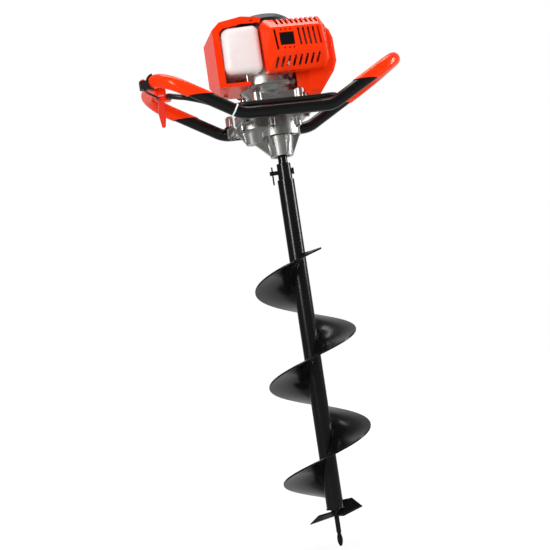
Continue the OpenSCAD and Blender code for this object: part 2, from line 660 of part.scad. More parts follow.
// Fins beside the round flanges of the crankcase are lower than the rest
module fin(x) {
    h = x > fan_r + 1 ? fin_half : barrel_r - 1;
    box([x, x + fin_t], [-fin_half, fin_half], [cyl_z - h, cyl_z + h]);
}
module engine_cylinder() color("#a5a8ab") {
    rod_x([cyl_x0, 0, cyl_z], barrel_r, cyl_x1 - cyl_x0);
    for (i = [0:fins - 1]) fin(cyl_x0 + 9 + i * fin_pitch);
    rod_y([port_x, muffler_y[1], cyl_z], 13, -muffler_y[1]);
    rod_y([carb_x + 16, 0, carb_z], 12, carb_y);
}
plug_r = 7;
module spark_plug() color("white") {
    rod_x([cyl_x1, 0, cyl_z], plug_r + 3, 6);
    rod_x([cyl_x1 + 6, 0, cyl_z], plug_r - 2, 12);
}
module plug_cap() color("#1c1c1c") difference() {
    union() {
        rod_x([cyl_x1 + 8, 0, cyl_z], plug_r + 2, 15);
        translate([cyl_x1 + 15, 0, cyl_z]) rotate([-40, 0, 0]) cylinder(r = plug_r, h = 14);
    }
    rod_x([cyl_x1, 0, cyl_z], plug_r - 2 + seat_gap, 18 + seat_gap);
}

// Exhaust and the moulded covers
module muffler() color("#8b8783") difference() {
    hull() for (x = muffler_x, z = muffler_z)
        rod_y([x + (x == muffler_x[0] ? 8 : -8), muffler_y[0], z + (z == muffler_z[0] ? 8 : -8)], 8,
            muffler_y[1] - muffler_y[0], $fn = 32);
    rod_y([70, muffler_y[0] - 1, cyl_z - 30], 6, 12);
}
guard_front = [[-14, cyl_z + 22], [96, cyl_z + 22], [101, cyl_z - 31], [-5, cyl_z - 31]];
guard_outer = [[-26, cyl_z + 38], [-18, cyl_z + 46], [100, cyl_z + 46], [113, cyl_z + 24], [112, cyl_z - 44],
    [102, guard_low_z], [-24, guard_low_z]];
module rounded(r, inset) offset(r = r, $fn = 24) offset(delta = -r - inset) children();
module guard_form(inset) hull() {
    plate_y(guard_edge_y, shroud_y[0]) rounded(6, inset) polygon(guard_outer);
    plate_y(guard_front_y + inset, guard_front_y + inset + 1) rounded(5, inset) polygon(guard_front);
}
module muffler_guard() color(orange) difference() {
    guard_form(0);
    difference() {
        guard_form(cover_wall);
        box([-fan_r, 2 * fan_r], [shroud_y[0] - eps, 0], [cyl_z - fan_r, cyl_z + fan_r]);
    }
    box([-fan_r, 2 * fan_r], [shroud_y[0] - cover_wall - 1, 0], [guard_low_z + 2, cyl_z + 41]);
    disc(fan_r + pass_gap, guard_low_z - 1, starter_top);
    translate([bell_shift, 0, 0]) disc(bell_r + pass_gap, guard_low_z - 1, fan_z + pass_gap);
    guard_slots();
}
module guard_slots() {
    y0 = guard_front_y - 5;
    y1 = guard_front_y + 12;
    slot_y(-3, cyl_z - 4, 4.5, 44, -rake, y0, y1);
    for (i = [0:4]) slot_y(48 + 10.6 * i, cyl_z - 1, 4.6, 38, -rake, y0, y1);
    box(screen_x, [y0, y1], screen_z);
    for (i = [0:2], z = [-23, 16]) rod_y([11 + 10 * i - z / 11, y0, cyl_z + z], 1.8, y1 - y0);
    for (i = [0:7]) slot_y(12.7 * i - 4, cyl_z - 49 + i / 2, 5, 20, 3 * rake, y0, guard_edge_y + 4);
    for (i = [0:8]) slot_y(6 + 10.6 * i, cyl_z + 42, 6, 26, -rake, y0, shroud_y[0] - 10);
    for (i = [0:4]) slot_y(107, cyl_z + 22 - 12 * i, 3.4, 7, -rake, y0, guard_edge_y + 4);
}
module outlet_screen() color("#141414") union() {
    box([screen_x[0] + 0.3, screen_x[1] - 0.3], [guard_front_y + 1.5, guard_front_y + 4],
        [screen_z[0] + 0.3, screen_z[1] - 0.3]);
    box([screen_x[0] - 4, screen_x[1] + 4], [guard_front_y + cover_wall + 0.2, guard_front_y + 6],
        [screen_z[0] - 4, screen_z[1] + 4]);
}
shroud_low_z = cyl_z - 112;
shroud_bevel = 7;
shroud_outline = [[fan_r + 3, cyl_z + 40], [114, cyl_z + 40], [130, cyl_z + 24], [136, cyl_z + 6],
    [137, cyl_z - 44], [128, cyl_z - 66], [92, shroud_low_z], [fan_r + 3, shroud_low_z]];
module shroud_form(inset) hull() {
    plate_y(shroud_y[0] + inset, shroud_y[0] + inset + 1) offset(delta = -shroud_bevel - inset / 2)
        polygon(shroud_outline);
    plate_y(shroud_y[0] + shroud_bevel + inset / 2, shroud_y[1] - inset) offset(delta = -inset)
        polygon(shroud_outline);
}
module cylinder_shroud() color(orange) difference() {
    shroud_form(0);
    shroud_form(cover_wall);
    box([fan_r, fan_r + 20], [shroud_y[0] + shroud_bevel + cover_wall, shroud_y[1] - cover_wall],
        [cyl_z - 95, cyl_z + 40 - cover_wall]);
    box([fan_r, muffler_x[1] + 3], [shroud_y[0] - 1, shroud_y[0] + shroud_bevel + cover_wall + 1],
        [muffler_z[0] - 2, cyl_z + 34]);
    rod_y([carb_x + 16, shroud_y[1] - 5, carb_z], 14, 10);
    for (i = [0:4]) slot_y(96 + 8 * i, cyl_z - 5 - i * 2, 4, 40, 0, shroud_y[1] - 5, shroud_y[1] + 1);
}
tank_front = [[tank_guard_x, tank_guard_z], [tank_guard_x, cyl_z + 38], [-110, cyl_z + 54],
    [-62, cyl_z + 63], [-19, cyl_z + 58], [-56, tank_guard_z]];
tank_back = [[-106, tank_guard_z], [tank_guard_x, tank_guard_z + 26], [tank_guard_x, cyl_z + 34],
    [-106, cyl_z + 62], [-46, cyl_z + 79], [-46, tank_guard_z]];
module tank_guard_form(inset) hull() {
    plate_y(tank_guard_y[0] - inset, tank_guard_y[0] + 1) offset(delta = -inset) polygon(tank_front);
    plate_y(tank_guard_y[1] - 12 - inset, tank_guard_y[1] - inset) offset(delta = -inset) polygon(tank_back);
}
// The mouth of the guard: its lip is wide at the left and the top, narrow below, open at the right
module tank_mouth() for (x = [0, fan_r / 2], z = [0, tank_lip[1] - tank_lip[0]]) translate([x, z])
    offset(delta = -tank_lip[0]) polygon(tank_front);
module tank_guard() color(orange) difference() {
    tank_guard_form(0);
    difference() {
        tank_guard_form(guard_wall);
        difference() {
            box([tank_guard_x, 0], [tank_guard_y[0] - 2 * guard_wall, tank_guard_y[0] + guard_wall],
                [tank_guard_z, cyl_z + 80]);
            plate_y(tank_guard_y[0] - 3 * guard_wall, tank_guard_y[0] + 2 * guard_wall) tank_mouth();
        }
    }
    disc(fan_r + seat_gap, tank_guard_z - 10, cyl_z + 80);
    translate([bell_shift, 0, 0]) disc(bell_r + seat_gap, tank_guard_z - 10, fan_z);
    box([-60, 10], [tank_guard_y[0] - 1, tank_guard_y[1] + 1], [tank_guard_z - 5, cyl_z + 47]);
    for (x = [-52, -40]) slot_y(x, cyl_z + 53, 2.4, 8, 60, tank_guard_y[0] - 5, tank_guard_y[0] + 6);
    for (p = post_at) translate([p[0], p[1], 0]) disc(2.6, tank_guard_z - 5, tank_guard_z + 10);
    rod_y([cap_x, tank_guard_y[1] - 8, cyl_z], cap_r + 3, 10);
}
module tank_posts() color("silver") for (p = post_at) translate([p[0], p[1], 0]) {
    disc(5, tank_guard_z + guard_wall + seat_gap, tank_z[0] - seat_gap);
    disc(2.5, tank_guard_z - 4, tank_guard_z + guard_wall + 1);
    translate([0, 0, tank_guard_z - 4]) cylinder(r = 5, h = 4 - seat_gap, $fn = 6);
}
module tank_corner(x, y, z, r) translate([x + (x == tank_x[0] ? r : -r), y + (y == tank_y[0] ? r : -r),
    z + (z == tank_z[0] ? r : -r)]) sphere(r, $fn = 24);
module fuel_tank() color("#f4f2ee") difference() {
    hull() for (x = tank_x, y = tank_y, z = tank_z)
        tank_corner(x, y, z, x == tank_x[0] && z == tank_z[1] ? tank_crown : tank_round);
    disc(fan_r + 4, tank_z[0] - 5, tank_z[1] + 5);
    translate([cap_x, cap_y, 0]) rod_y([0, tank_y[1] - 12 - cap_y, cyl_z], cap_r - 5, 20);
}
cap_x = -92;
cap_y = tank_y[1];
cap_r = 17;
module fuel_cap() color("#1d1d1d") difference() {
    union() {
        rod_y([cap_x, cap_y - 10, cyl_z], cap_r - 5.4, 11);
        rod_y([cap_x, cap_y + 0.3, cyl_z], cap_r, 5);
    }
    for (i = [0:11]) translate([cap_x, 0, cyl_z]) rotate([0, 30 * i, 0])
        rod_y([cap_r + 1, cap_y - 1, 0], 2.4, 8);
}

// Recoil starter
reel_r = 34;
reel_z = starter_z + 17;
rope_z = reel_z + 5;
module starter_housing() color("#191919") difference() {
    union() {
        rotate_extrude() polygon([[0, starter_z], [fan_r, starter_z], [fan_r, starter_z + 24],
            [fan_r - 8, starter_top - 6], [fan_r - 18, starter_top], [0, starter_top]]);
        rod_y([0, fan_r - 12, rope_z], 11, 22);
    }
    difference() {
        rotate_extrude() polygon([[0, starter_z - 1], [fan_r - 4, starter_z - 1],
            [fan_r - 4, starter_z + 23], [fan_r - 11, starter_top - 9], [fan_r - 20, starter_top - 4],
            [0, starter_top - 4]]);
        disc(8, reel_z - 1, starter_top);
    }
    rod_y([0, fan_r - 14, rope_z], 3, 30);
    for (i = [0:17]) rotate([0, 0, 20 * i + 10])
        box([fan_r - 26, fan_r - 21], [-3, 3], [starter_top - 10, starter_top + 1]);
    for (i = [0:11]) rotate([0, 0, 30 * i])
        box([fan_r - 8, fan_r + 2], [-4, 4], [starter_z + 6, starter_z + 9]);
}
module starter_reel() color("#e8e4da") difference() {
    union() {
        disc(reel_r, reel_z, reel_z + 3);
        disc(reel_r - 8, reel_z, reel_z + 11);
        disc(reel_r, reel_z + 8, reel_z + 11);
    }
    disc(8 + run_gap, reel_z - 1, reel_z + 12);
    for (s = [-1, 1]) translate([s * 18, 0, 0]) disc(5, reel_z - 1, reel_z + 12);
}
module starter_cup() color("#8a8d90") difference() {
    disc(22, starter_z + 3, starter_z + 14);
    disc(18, starter_z + 7, starter_z + 15);
    disc(crank_r + seat_gap / 2, starter_z + 2, starter_z + 8);
    for (i = [0:2]) rotate([0, 0, 120 * i]) box([12, 30], [-4, 4], [starter_z + 9, starter_z + 15]);
}
handle_y = fan_r + 10;
module starter_handle() color("#1a1a1a") difference() {
    hull() for (s = [-1, 1]) translate([s * 26, handle_y + 0.3, rope_z]) rotate([-90, 0, 0])
        cylinder(r1 = 8, r2 = 10, h = 16, $fn = 32);
    rod_y([0, handle_y - 1, rope_z], 2.5, 6);
}

// Carburettor and air filter
module carburettor() color("#9fa2a5") difference() {
    union() {
        box([carb_x - 16, carb_x + 32], [carb_y, carb_y + 6], [carb_z - 16, carb_z + 16]);
        rod_y([carb_x + 8, carb_y, carb_z], 15, filter_y - carb_y);
        box([carb_x - 10, carb_x + 26], [carb_y + 8, carb_y + 26], [carb_z - 20, carb_z + 18]);
        translate([carb_x + 8, carb_y + 18, 0]) disc(14, carb_z - 30, carb_z - 18);
        rod_x([carb_x + 24, carb_y + 16, carb_z - 4], 12, 8);
    }
    rod_y([carb_x + 8, carb_y + 4, carb_z], 10, 40);
    translate([carb_x - 4, carb_y + 16, 0]) disc(3 + run_gap, carb_z + 8, carb_z + 30);
    translate([carb_x + 20, carb_y + 18, 0]) disc(2.5 + run_gap, carb_z + 8, carb_z + 30);
    rod_x([carb_x + 25, carb_y + 16, carb_z - 4], 10, 10);
}
module throttle_arm() color("silver") translate([carb_x - 4, carb_y + 16, 0]) {
    disc(3, carb_z + 9, carb_z + 19);
    disc(5, carb_z + 18.4, carb_z + 21);
    box([-20, 0], [-3, 3], [carb_z + 18.4, carb_z + 21]);
}
module choke_lever() color("#1d1d1d") translate([carb_x + 20, carb_y + 18, 0]) {
    disc(2.5, carb_z + 9, carb_z + 25);
    disc(4.5, carb_z + 22, carb_z + 25);
    box([0, 30], [-3, 3], [carb_z + 22, carb_z + 25]);
}
module primer_bulb() color("#e6c9a0") intersection() {
    translate([carb_x + 29, carb_y + 16, carb_z - 4]) sphere(9.5);
    rod_x([carb_x + 30, carb_y + 16, carb_z - 4], 12, 20);
}
module filter_form(x0, x1, y0, y1, z0, z1, r) plate_y(y0, y1) {
    translate([x0 + r, z0]) square([x1 - x0 - 2 * r, z1 - z0]);
    translate([x0, z0 + r]) square([x1 - x0, z1 - z0 - 2 * r]);
    for (x = [x0 + r, x1 - r], z = [z0 + r, z1 - r]) translate([x, z]) circle(r);
}
filter_x = [-58, 88];
filter_z = [cyl_z - 74, cyl_z + 16];
module filter_cover() color("#1f1f1f") difference() {
    union() {
        filter_form(filter_x[0], filter_x[1], filter_y, filter_y + 34, filter_z[0], filter_z[1], 14);
        filter_form(filter_x[0] + 8, filter_x[1] - 8, filter_y + 34, filter_y + 42,
            filter_z[0] + 8, filter_z[1] - 8, 14);
    }
    filter_form(filter_x[0] + 4, filter_x[1] - 4, filter_y + 4, filter_y + 33,
        filter_z[0] + 4, filter_z[1] - 4, 10);
    rod_y([carb_x + 8, filter_y - 1, carb_z], 10, 8);
    for (i = [0:6]) slot_y(filter_x[0] + 28 + 15 * i, cyl_z - 29, 4, 50, 0, filter_y + 36, filter_y + 44);
}
module filter_element() color("#c9a65a") filter_form(filter_x[0] + 4.2, filter_x[1] - 4.2,
    filter_y + 12, filter_y + 32, filter_z[0] + 4.2, filter_z[1] - 4.2, 10);

// Drill bit
module cross_pin(r) rotate([0, 0, -14]) rod_x([-40, 0, pin_z], r, 80);
pin_z = tube_top + socket_len / 2;
socket_r = tube_d / 2 - tube_wall;
module auger_tube() color("#151515") difference() {
    union() {
        disc(tube_d / 2, pilot_len, tube_top);
        disc(socket_r, tube_top - eps, socket_top);
    }
    disc(socket_r, pilot_len - 1, tube_top - 40);
    disc(shaft_d / 2 + seat_gap / 2, tube_top - 30, socket_top + 1);
    cross_pin(pin_d / 2 + seat_gap / 2);
}
flight_steps = 36;
flight_foot_angle = 77;
flight_foot_gap = 9.6;
module auger_flight() color("#101010") {
    n = round(flight_turns * flight_steps);
    inner = (tube_d / 2 + seat_gap / 2) / cos(180 / flight_steps);
    section = [[inner, 0], [flight_d / 2, 0], [flight_d / 2, flight_t], [inner, flight_t]];
    points = [for (i = [0:n], c = section)
        let (up = n - i, t = flight_foot_angle + 360 / flight_steps * up)
        [c[0] * cos(t), c[0] * sin(t),
            pilot_len + flight_foot_gap + flight_t + flight_pitch / flight_steps * up - c[1]]];
    walls = [for (i = [0:n - 1], k = [0:3], half = [0, 1])
        let (o = 4 * i, m = (k + 1) % 4)
        half == 0 ? [o + k, o + 4 + m, o + m] : [o + k, o + 4 + k, o + 4 + m]];
    caps = [[0, 1, 2], [0, 2, 3], [4 * n, 4 * n + 2, 4 * n + 1], [4 * n, 4 * n + 3, 4 * n + 2]];
    polyhedron(points, concat(walls, caps));
}
blade_z = pilot_len - 14;
hub_r = 13;
module cutting_blades() color("#161616") difference() {
    for (s = [0, 180]) rotate([0, 0, s - 14]) translate([0, 0, blade_z]) rotate([24, 0, 0])
        translate([0, 0, -blade_t / 2]) linear_extrude(blade_t)
        polygon([[0, -11], [blade_span / 2, -16], [blade_span / 2 - 4, 13], [0, 11]]);
    disc(hub_r + seat_gap / 2, 0, pilot_len);
}
module pilot_point() color("#1b1b1b") {
    rotate_extrude() polygon([[0, 0], [1, 1], [5.3, 13], [pilot_d / 2 - 0.6, 24], [pilot_d / 2, 28],
        [pilot_d / 2, blade_z - 14], [hub_r, blade_z - 10], [hub_r, pilot_len - 2],
        [tube_d / 2, pilot_len - 2], [tube_d / 2, pilot_len], [socket_r - seat_gap / 2, pilot_len],
        [socket_r - seat_gap / 2, pilot_len + 12], [0, pilot_len + 12]]);
}
pin_left = -32;
module coupling_pin() color("#1a1a1a") rotate([0, 0, -14]) difference() {
    union() {
        rod_x([pin_left, 0, pin_z], pin_d / 2, socket_r + 1 - pin_left);
        rod_x([socket_r + 0.3, 0, pin_z], pin_d / 2 + 2.5, 5);
    }
    translate([pin_left + 6, 0, 0]) disc(1.6, pin_z - 20, pin_z + 20);
}
module pin_clip() color("silver") rotate([0, 0, -14]) translate([pin_left + 6, 0, pin_z]) {
    translate([0, 0, -12]) cylinder(r = 1.4, h = 26);
    translate([0, 0, -18]) rotate([0, 90, 0]) rotate_extrude() translate([6, 0]) circle(1.4);
}

handle_frame();
left_grip();
right_grip();
throttle_bracket();
throttle_lever();
lever_pivot();
switch_housing();
kill_button();
switch_wire();
throttle_conduit();
cable_tie();
gearbox_case();
gearbox_cover();
gearbox_bolts();
frame_bolts();
output_shaft();
output_gear();
output_bearings();
output_seal();
idler_shaft();
idler_gear();
idler_bearings();
drive_pinion();
pinion_bearings();
clutch_drum();
clutch_hub();
clutch_shoes();
clutch_housing();
housing_bolts();
crankcase();
crankshaft();
crank_bearings();
flywheel();
engine_cylinder();
spark_plug();
plug_cap();
muffler();
muffler_guard();
outlet_screen();
cylinder_shroud();
tank_guard();
tank_posts();
fuel_tank();
fuel_cap();
starter_housing();
starter_reel();
starter_cup();
starter_handle();
carburettor();
throttle_arm();
choke_lever();
primer_bulb();
filter_cover();
filter_element();
auger_tube();
auger_flight();
cutting_blades();
pilot_point();
coupling_pin();
pin_clip();
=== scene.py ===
# %% [markdown]
# # An earth auger, dressed
# A petrol earth auger is a small two-stroke engine above a reduction gearbox. Both hang in a ring of bent
# steel tube with two dipped hand grips, and a steel bit with a spiral flight is pinned to the gearbox.
# The solids come packed from the CAD model, in metres, with +Z up and the pilot point's tip at the origin.
# This lesson gives them their surfaces, and remakes the pieces whose look needs a finer form.

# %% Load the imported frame
import json
import math

import bmesh
import bpy
import numpy as np
from mathutils import Matrix, Vector

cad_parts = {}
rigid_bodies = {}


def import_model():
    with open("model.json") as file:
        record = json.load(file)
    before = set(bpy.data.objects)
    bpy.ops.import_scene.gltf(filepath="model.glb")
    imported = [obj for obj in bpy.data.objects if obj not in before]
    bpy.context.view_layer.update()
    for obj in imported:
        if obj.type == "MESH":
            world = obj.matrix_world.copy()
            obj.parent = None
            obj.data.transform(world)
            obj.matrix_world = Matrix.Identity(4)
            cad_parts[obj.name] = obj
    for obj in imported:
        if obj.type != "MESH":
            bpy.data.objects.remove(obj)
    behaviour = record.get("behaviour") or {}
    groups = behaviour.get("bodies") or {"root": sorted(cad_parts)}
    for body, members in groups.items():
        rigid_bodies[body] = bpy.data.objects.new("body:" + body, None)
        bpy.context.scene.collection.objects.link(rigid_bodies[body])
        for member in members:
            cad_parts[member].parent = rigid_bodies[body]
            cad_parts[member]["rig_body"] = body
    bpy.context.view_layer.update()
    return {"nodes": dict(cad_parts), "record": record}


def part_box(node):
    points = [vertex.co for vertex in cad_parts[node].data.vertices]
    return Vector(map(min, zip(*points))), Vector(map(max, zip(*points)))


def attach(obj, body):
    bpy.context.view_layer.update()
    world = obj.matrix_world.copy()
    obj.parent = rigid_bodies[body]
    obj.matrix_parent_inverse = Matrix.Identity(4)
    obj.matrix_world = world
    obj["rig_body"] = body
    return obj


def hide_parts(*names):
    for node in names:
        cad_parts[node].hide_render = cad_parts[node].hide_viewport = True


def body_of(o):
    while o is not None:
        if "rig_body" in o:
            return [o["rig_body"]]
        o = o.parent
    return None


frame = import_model()
nodes = frame["nodes"]
MM = 0.001

# %% [markdown]
# ## Camera
# The picture was taken with a long lens from about the height of the bit's middle, and the tool leans to
# the left in the frame. Six measures fix that view: the camera's distance and height, its turn about the
# tool's axis, the yaw and pitch of where it points, and the lean. A camera could be aimed by eye, but
# measures can be fitted to the picture. A sensor 36 mm wide stands in for the real one.

# %% Camera
stand_off, stand_height = 2.7732, 0.3493
turn, yaw, pitch, lean = np.radians([-14.0, -1.089, 4.780, 8.506])
ahead = np.array([math.sin(yaw) * math.cos(pitch), math.cos(yaw) * math.cos(pitch), math.sin(pitch)])
level = np.array([math.cos(yaw), -math.sin(yaw), 0.0])
upright = np.cross(level, ahead)
right = math.cos(lean) * level - math.sin(lean) * upright
top = math.sin(lean) * level + math.cos(lean) * upright
axes = np.stack([right, top, -ahead], axis=1)
about_z = np.array(Matrix.Rotation(turn, 3, "Z"))

camera_data = bpy.data.cameras.new("camera")
camera_data.sensor_width = 36.0
camera_data.lens = 85.83
camera_data.clip_end = 100.0
camera = bpy.data.objects.new("camera", camera_data)
pose = Matrix((about_z @ axes).tolist()).to_4x4()
pose.translation = Vector((about_z @ np.array([0.0, -stand_off, stand_height])).tolist())
camera.matrix_world = pose
bpy.context.scene.collection.objects.link(camera)
bpy.context.scene.camera = camera
print("camera at", np.round(pose.translation, 3).tolist(), "lens", camera_data.lens)

# %% [markdown]
# ## Tools for finishes
# Colours are written as the sRGB codes that the eye compares, and a shader wants linear light, so one
# function converts them. Nodes are added by one small function that takes constants and links alike.
# Most finishes here are one idea: two close colours that drift over patches, a roughness that drifts with
# them, and a fine grain that catches the light. Painted textures could do this too, but noise in object
# coordinates needs no picture and no unwrapping.

# %% Finish helpers
# most values of a noise lie between these two
NOISE_SPAN = (0.3, 0.7)


def linear(code):
    """sRGB code to linear RGBA: c/12.92 up to 0.04045, and ((c + 0.055)/1.055)^2.4 above it."""
    c = np.array([int(code[i:i + 2], 16) for i in (1, 3, 5)]) / 255.0
    return (*np.where(c <= 0.04045, c / 12.92, ((c + 0.055) / 1.055) ** 2.4), 1.0)


def add(tree, kind, inputs=None, **settings):
    """One node with its settings; each input is a constant or the output socket that feeds it."""
    node = tree.nodes.new(kind)
    for key, value in settings.items():
        setattr(node, key, value)
    for key, value in (inputs or {}).items():
        if isinstance(value, bpy.types.NodeSocket):
            tree.links.new(value, node.inputs[key])
        else:
            node.inputs[key].default_value = value
    return node


def surface(name, colours, patch, rough, grain, height, **sockets):
    """Two colours mixed by a noise of patch size, roughness between two values by the same noise,
    and a bump of grain size and height. Lengths are in metres; sockets are the shader's constants."""
    material = bpy.data.materials.new(name)
    material.use_nodes = True
    tree = material.node_tree
    shader = tree.nodes["Principled BSDF"]
    place = add(tree, "ShaderNodeTexCoord").outputs["Object"]
    drift = add(tree, "ShaderNodeTexNoise", {"Vector": place, "Scale": 1 / patch, "Detail": 4.0})
    tone = add(tree, "ShaderNodeMix",
               {0: drift.outputs["Fac"], 6: linear(colours[0]), 7: linear(colours[1])}, data_type="RGBA")
    sheen = add(tree, "ShaderNodeMapRange",
                {"Value": drift.outputs["Fac"], "From Min": NOISE_SPAN[0], "From Max": NOISE_SPAN[1],
                 "To Min": rough[0], "To Max": rough[1]})
    fine = add(tree, "ShaderNodeTexNoise", {"Vector": place, "Scale": 1 / grain, "Detail": 2.0})
    bump = add(tree, "ShaderNodeBump",
               {"Height": fine.outputs["Fac"], "Distance": height, "Strength": 1.0})
    tree.links.new(tone.outputs[2], shader.inputs["Base Color"])
    tree.links.new(sheen.outputs[0], shader.inputs["Roughness"])
    tree.links.new(bump.outputs[0], shader.inputs["Normal"])
    for key, value in sockets.items():
        shader.inputs[key.replace("_", " ")].default_value = value
    return material


print("middle grey is", round(float(linear("#808080")[0]), 3), "in linear light")

# %% [markdown]
# ## Orange and red
# The engine's covers are glossy injection-moulded ABS, and the grips are steel tube dipped in soft PVC,
# which is as bright and shows a faint ripple. A deeper base colour could warm them, but it turns the whole
# cover red, so only the mirror image is tinted.

# %% Orange and red
FINISH = {}
# highlights on the orange and red pieces look warm, not white
AMBER = (1.0, 0.62, 0.30, 1.0)
# glossy ABS: saturated orange with a tight highlight and hardly any grain
FINISH["orange_plastic"] = surface(
    "moulded_orange_abs", ("#fb2c00", "#ff3602"), patch=0.030, rough=(0.20, 0.28), grain=0.0012,
    height=0.000004, IOR=1.53, Specular_Tint=AMBER)
# dipped PVC: as glossy, with the faint ripple of the dip, about 4 mm wide
FINISH["orange_dip"] = surface(
    "dipped_orange_pvc", ("#fa2e02", "#fe3a06"), patch=0.018, rough=(0.18, 0.26), grain=0.0040,
    height=0.000006, IOR=1.52, Specular_Tint=AMBER)
# red ABS for what the fingers press
FINISH["red_plastic"] = surface(
    "moulded_red_abs", ("#f6200a", "#fc2c10"), patch=0.015, rough=(0.24, 0.32), grain=0.0010,
    height=0.000004, IOR=1.53, Specular_Tint=AMBER, Specular_IOR_Level=0.35)
print("bright finishes:", list(FINISH))

# %% [markdown]
# ## Blacks
# Handle tube and bit are powder-coated, which shows as a fine orange peel. The moulded housings are dull
# nylon, and the cable's sheath is satin rubber. All three are nearly the same black, so what tells them
# apart is roughness and grain, and that is where they differ here.

# %% Blacks
# powder coat: near black, smooth enough for long sharp streaks, with orange peel about 2 mm wide
FINISH["black_paint"] = surface(
    "black_powder_coat", ("#0a0b0b", "#101111"), patch=0.025, rough=(0.19, 0.26), grain=0.0020,
    height=0.000004, IOR=1.48)
# glass-filled nylon: dull black with a fine spark-eroded grain
FINISH["black_plastic"] = surface(
    "black_moulded_nylon", ("#161616", "#1e1e1e"), patch=0.020, rough=(0.42, 0.55), grain=0.0006,
    height=0.00002, IOR=1.53)
# rubber sheath: black and satin
FINISH["black_rubber"] = surface(
    "black_sheath_rubber", ("#121212", "#1a1a19"), patch=0.012, rough=(0.34, 0.46), grain=0.0010,
    height=0.00002, IOR=1.52)
print("with the blacks,", len(FINISH), "finishes")

# %% [markdown]
# ## Milky and small parts
# The tank is natural polyethylene: light goes in, scatters and comes out again, so its shadows stay pale.
# Real transparency would show the inside, which is solid here, so the light scatters under the skin
# instead. The nylon tie and the priming bulb are made in the same way. The plug's insulator is opaque, and
# so is the filter's foam.

# %% Milky and small parts
# natural nylon, a little see-through at thin edges
FINISH["white_nylon"] = surface(
    "natural_nylon", ("#ece9e2", "#f4f2ec"), patch=0.010, rough=(0.40, 0.50), grain=0.0006,
    height=0.00001, IOR=1.53, Subsurface_Weight=0.3, Subsurface_Scale=0.002)
# natural polyethylene: milky, light scatters about a centimetre inside
FINISH["tank_plastic"] = surface(
    "natural_polyethylene", ("#f0e4e2", "#f6ecea"), patch=0.040, rough=(0.24, 0.32), grain=0.0060,
    height=0.00004, IOR=1.51, Subsurface_Weight=0.6, Subsurface_Scale=0.010,
    Subsurface_Radius=(1.0, 0.8, 0.75))
# amber silicone of the priming bulb: light passes a few millimetres in
FINISH["bulb_rubber"] = surface(
    "amber_silicone", ("#c9a26a", "#d8b583"), patch=0.006, rough=(0.22, 0.32), grain=0.0010,
    height=0.00001, IOR=1.41, Subsurface_Weight=0.5, Subsurface_Scale=0.004)
# glazed porcelain of the plug's insulator: white with a sharp highlight
FINISH["porcelain"] = surface(
    "glazed_porcelain", ("#efece4", "#f5f3ee"), patch=0.010, rough=(0.12, 0.18), grain=0.0010,
    height=0.000005, IOR=1.54)
# open-cell foam: pits about a millimetre wide
FINISH["filter_foam"] = surface(
    "open_cell_foam", ("#6f5a33", "#a58a55"), patch=0.0012, rough=(0.85, 0.95), grain=0.0010,
    height=0.0006)
print("with the milky and small parts,", len(FINISH), "finishes")

# %% [markdown]
# ## Metals
# The gearbox and clutch housing are tumbled aluminium die castings, the fasteners are zinc-plated steel,
# and the output shaft is ground steel with black oxide. A metal has no colour under its mirror image, so
# each is fully metallic, and its base colour tints what it mirrors.

# %% Metals
# tumbled die casting: bright grey with a sandy skin
FINISH["cast_aluminium"] = surface(
    "tumbled_die_cast_aluminium", ("#d2d2ce", "#e0e0dc"), patch=0.012, rough=(0.30, 0.42),
    grain=0.0010, height=0.00003, Metallic=1.0)
# zinc-plated steel: pale grey, with a finer grain and sharper highlights than the castings
FINISH["steel"] = surface(
    "zinc_plated_steel", ("#b9bab8", "#cccdca"), patch=0.008, rough=(0.18, 0.30), grain=0.0006,
    height=0.000006, Metallic=1.0)
# black oxide on ground steel: a dark mirror
FINISH["black_oxide"] = surface(
    "black_oxide_steel", ("#3a3a39", "#4a4a48"), patch=0.008, rough=(0.16, 0.26), grain=0.0006,
    height=0.000004, Metallic=1.0)
print("with the metals,", len(FINISH), "finishes")

# %% [markdown]
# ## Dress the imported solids
# The record names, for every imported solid, the slot that its finish comes from. So one loop dresses them
# all, and the solids that nothing remakes below, such as gears and bearings, are then finished.

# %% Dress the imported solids
slot_of = {row["node"]: row["material_slot"] for row in frame["record"]["subparts"]}
for name, solid in nodes.items():
    for holder in solid.material_slots:
        holder.material = FINISH[slot_of[name]]
print("dressed", len(nodes), "solids")

# %% [markdown]
# ## Tools for pieces
# A piece remade here is a surface: rows of rings whose neighbours are joined by quads, capped at both ends
# unless the rows loop round. It could be pieced together from Blender's ready shapes, but as one array of
# points it stays a few lines long, and its sizes stay in view.

# %% Piece helpers
# folds sharper than this stay crisp
CREASE = math.radians(40)


def make(name, points, faces, body, slot, smooth=True):
    """A mesh piece in the model's own frame that rides on a body and takes a slot's finish."""
    mesh = bpy.data.meshes.new(name)
    mesh.from_pydata(points.reshape(-1, 3).tolist(), [], faces)
    work = bmesh.new()
    work.from_mesh(mesh)
    bmesh.ops.recalc_face_normals(work, faces=work.faces)
    if work.calc_volume(signed=True) < 0:
        bmesh.ops.reverse_faces(work, faces=work.faces)
    work.to_mesh(mesh)
    work.free()
    mesh.polygons.foreach_set("use_smooth", np.full(len(mesh.polygons), smooth))
    mesh.set_sharp_from_angle(angle=CREASE)
    mesh.materials.append(FINISH[slot])
    piece = bpy.data.objects.new(name, mesh)
    bpy.context.scene.collection.objects.link(piece)
    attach(piece, body)
    return piece


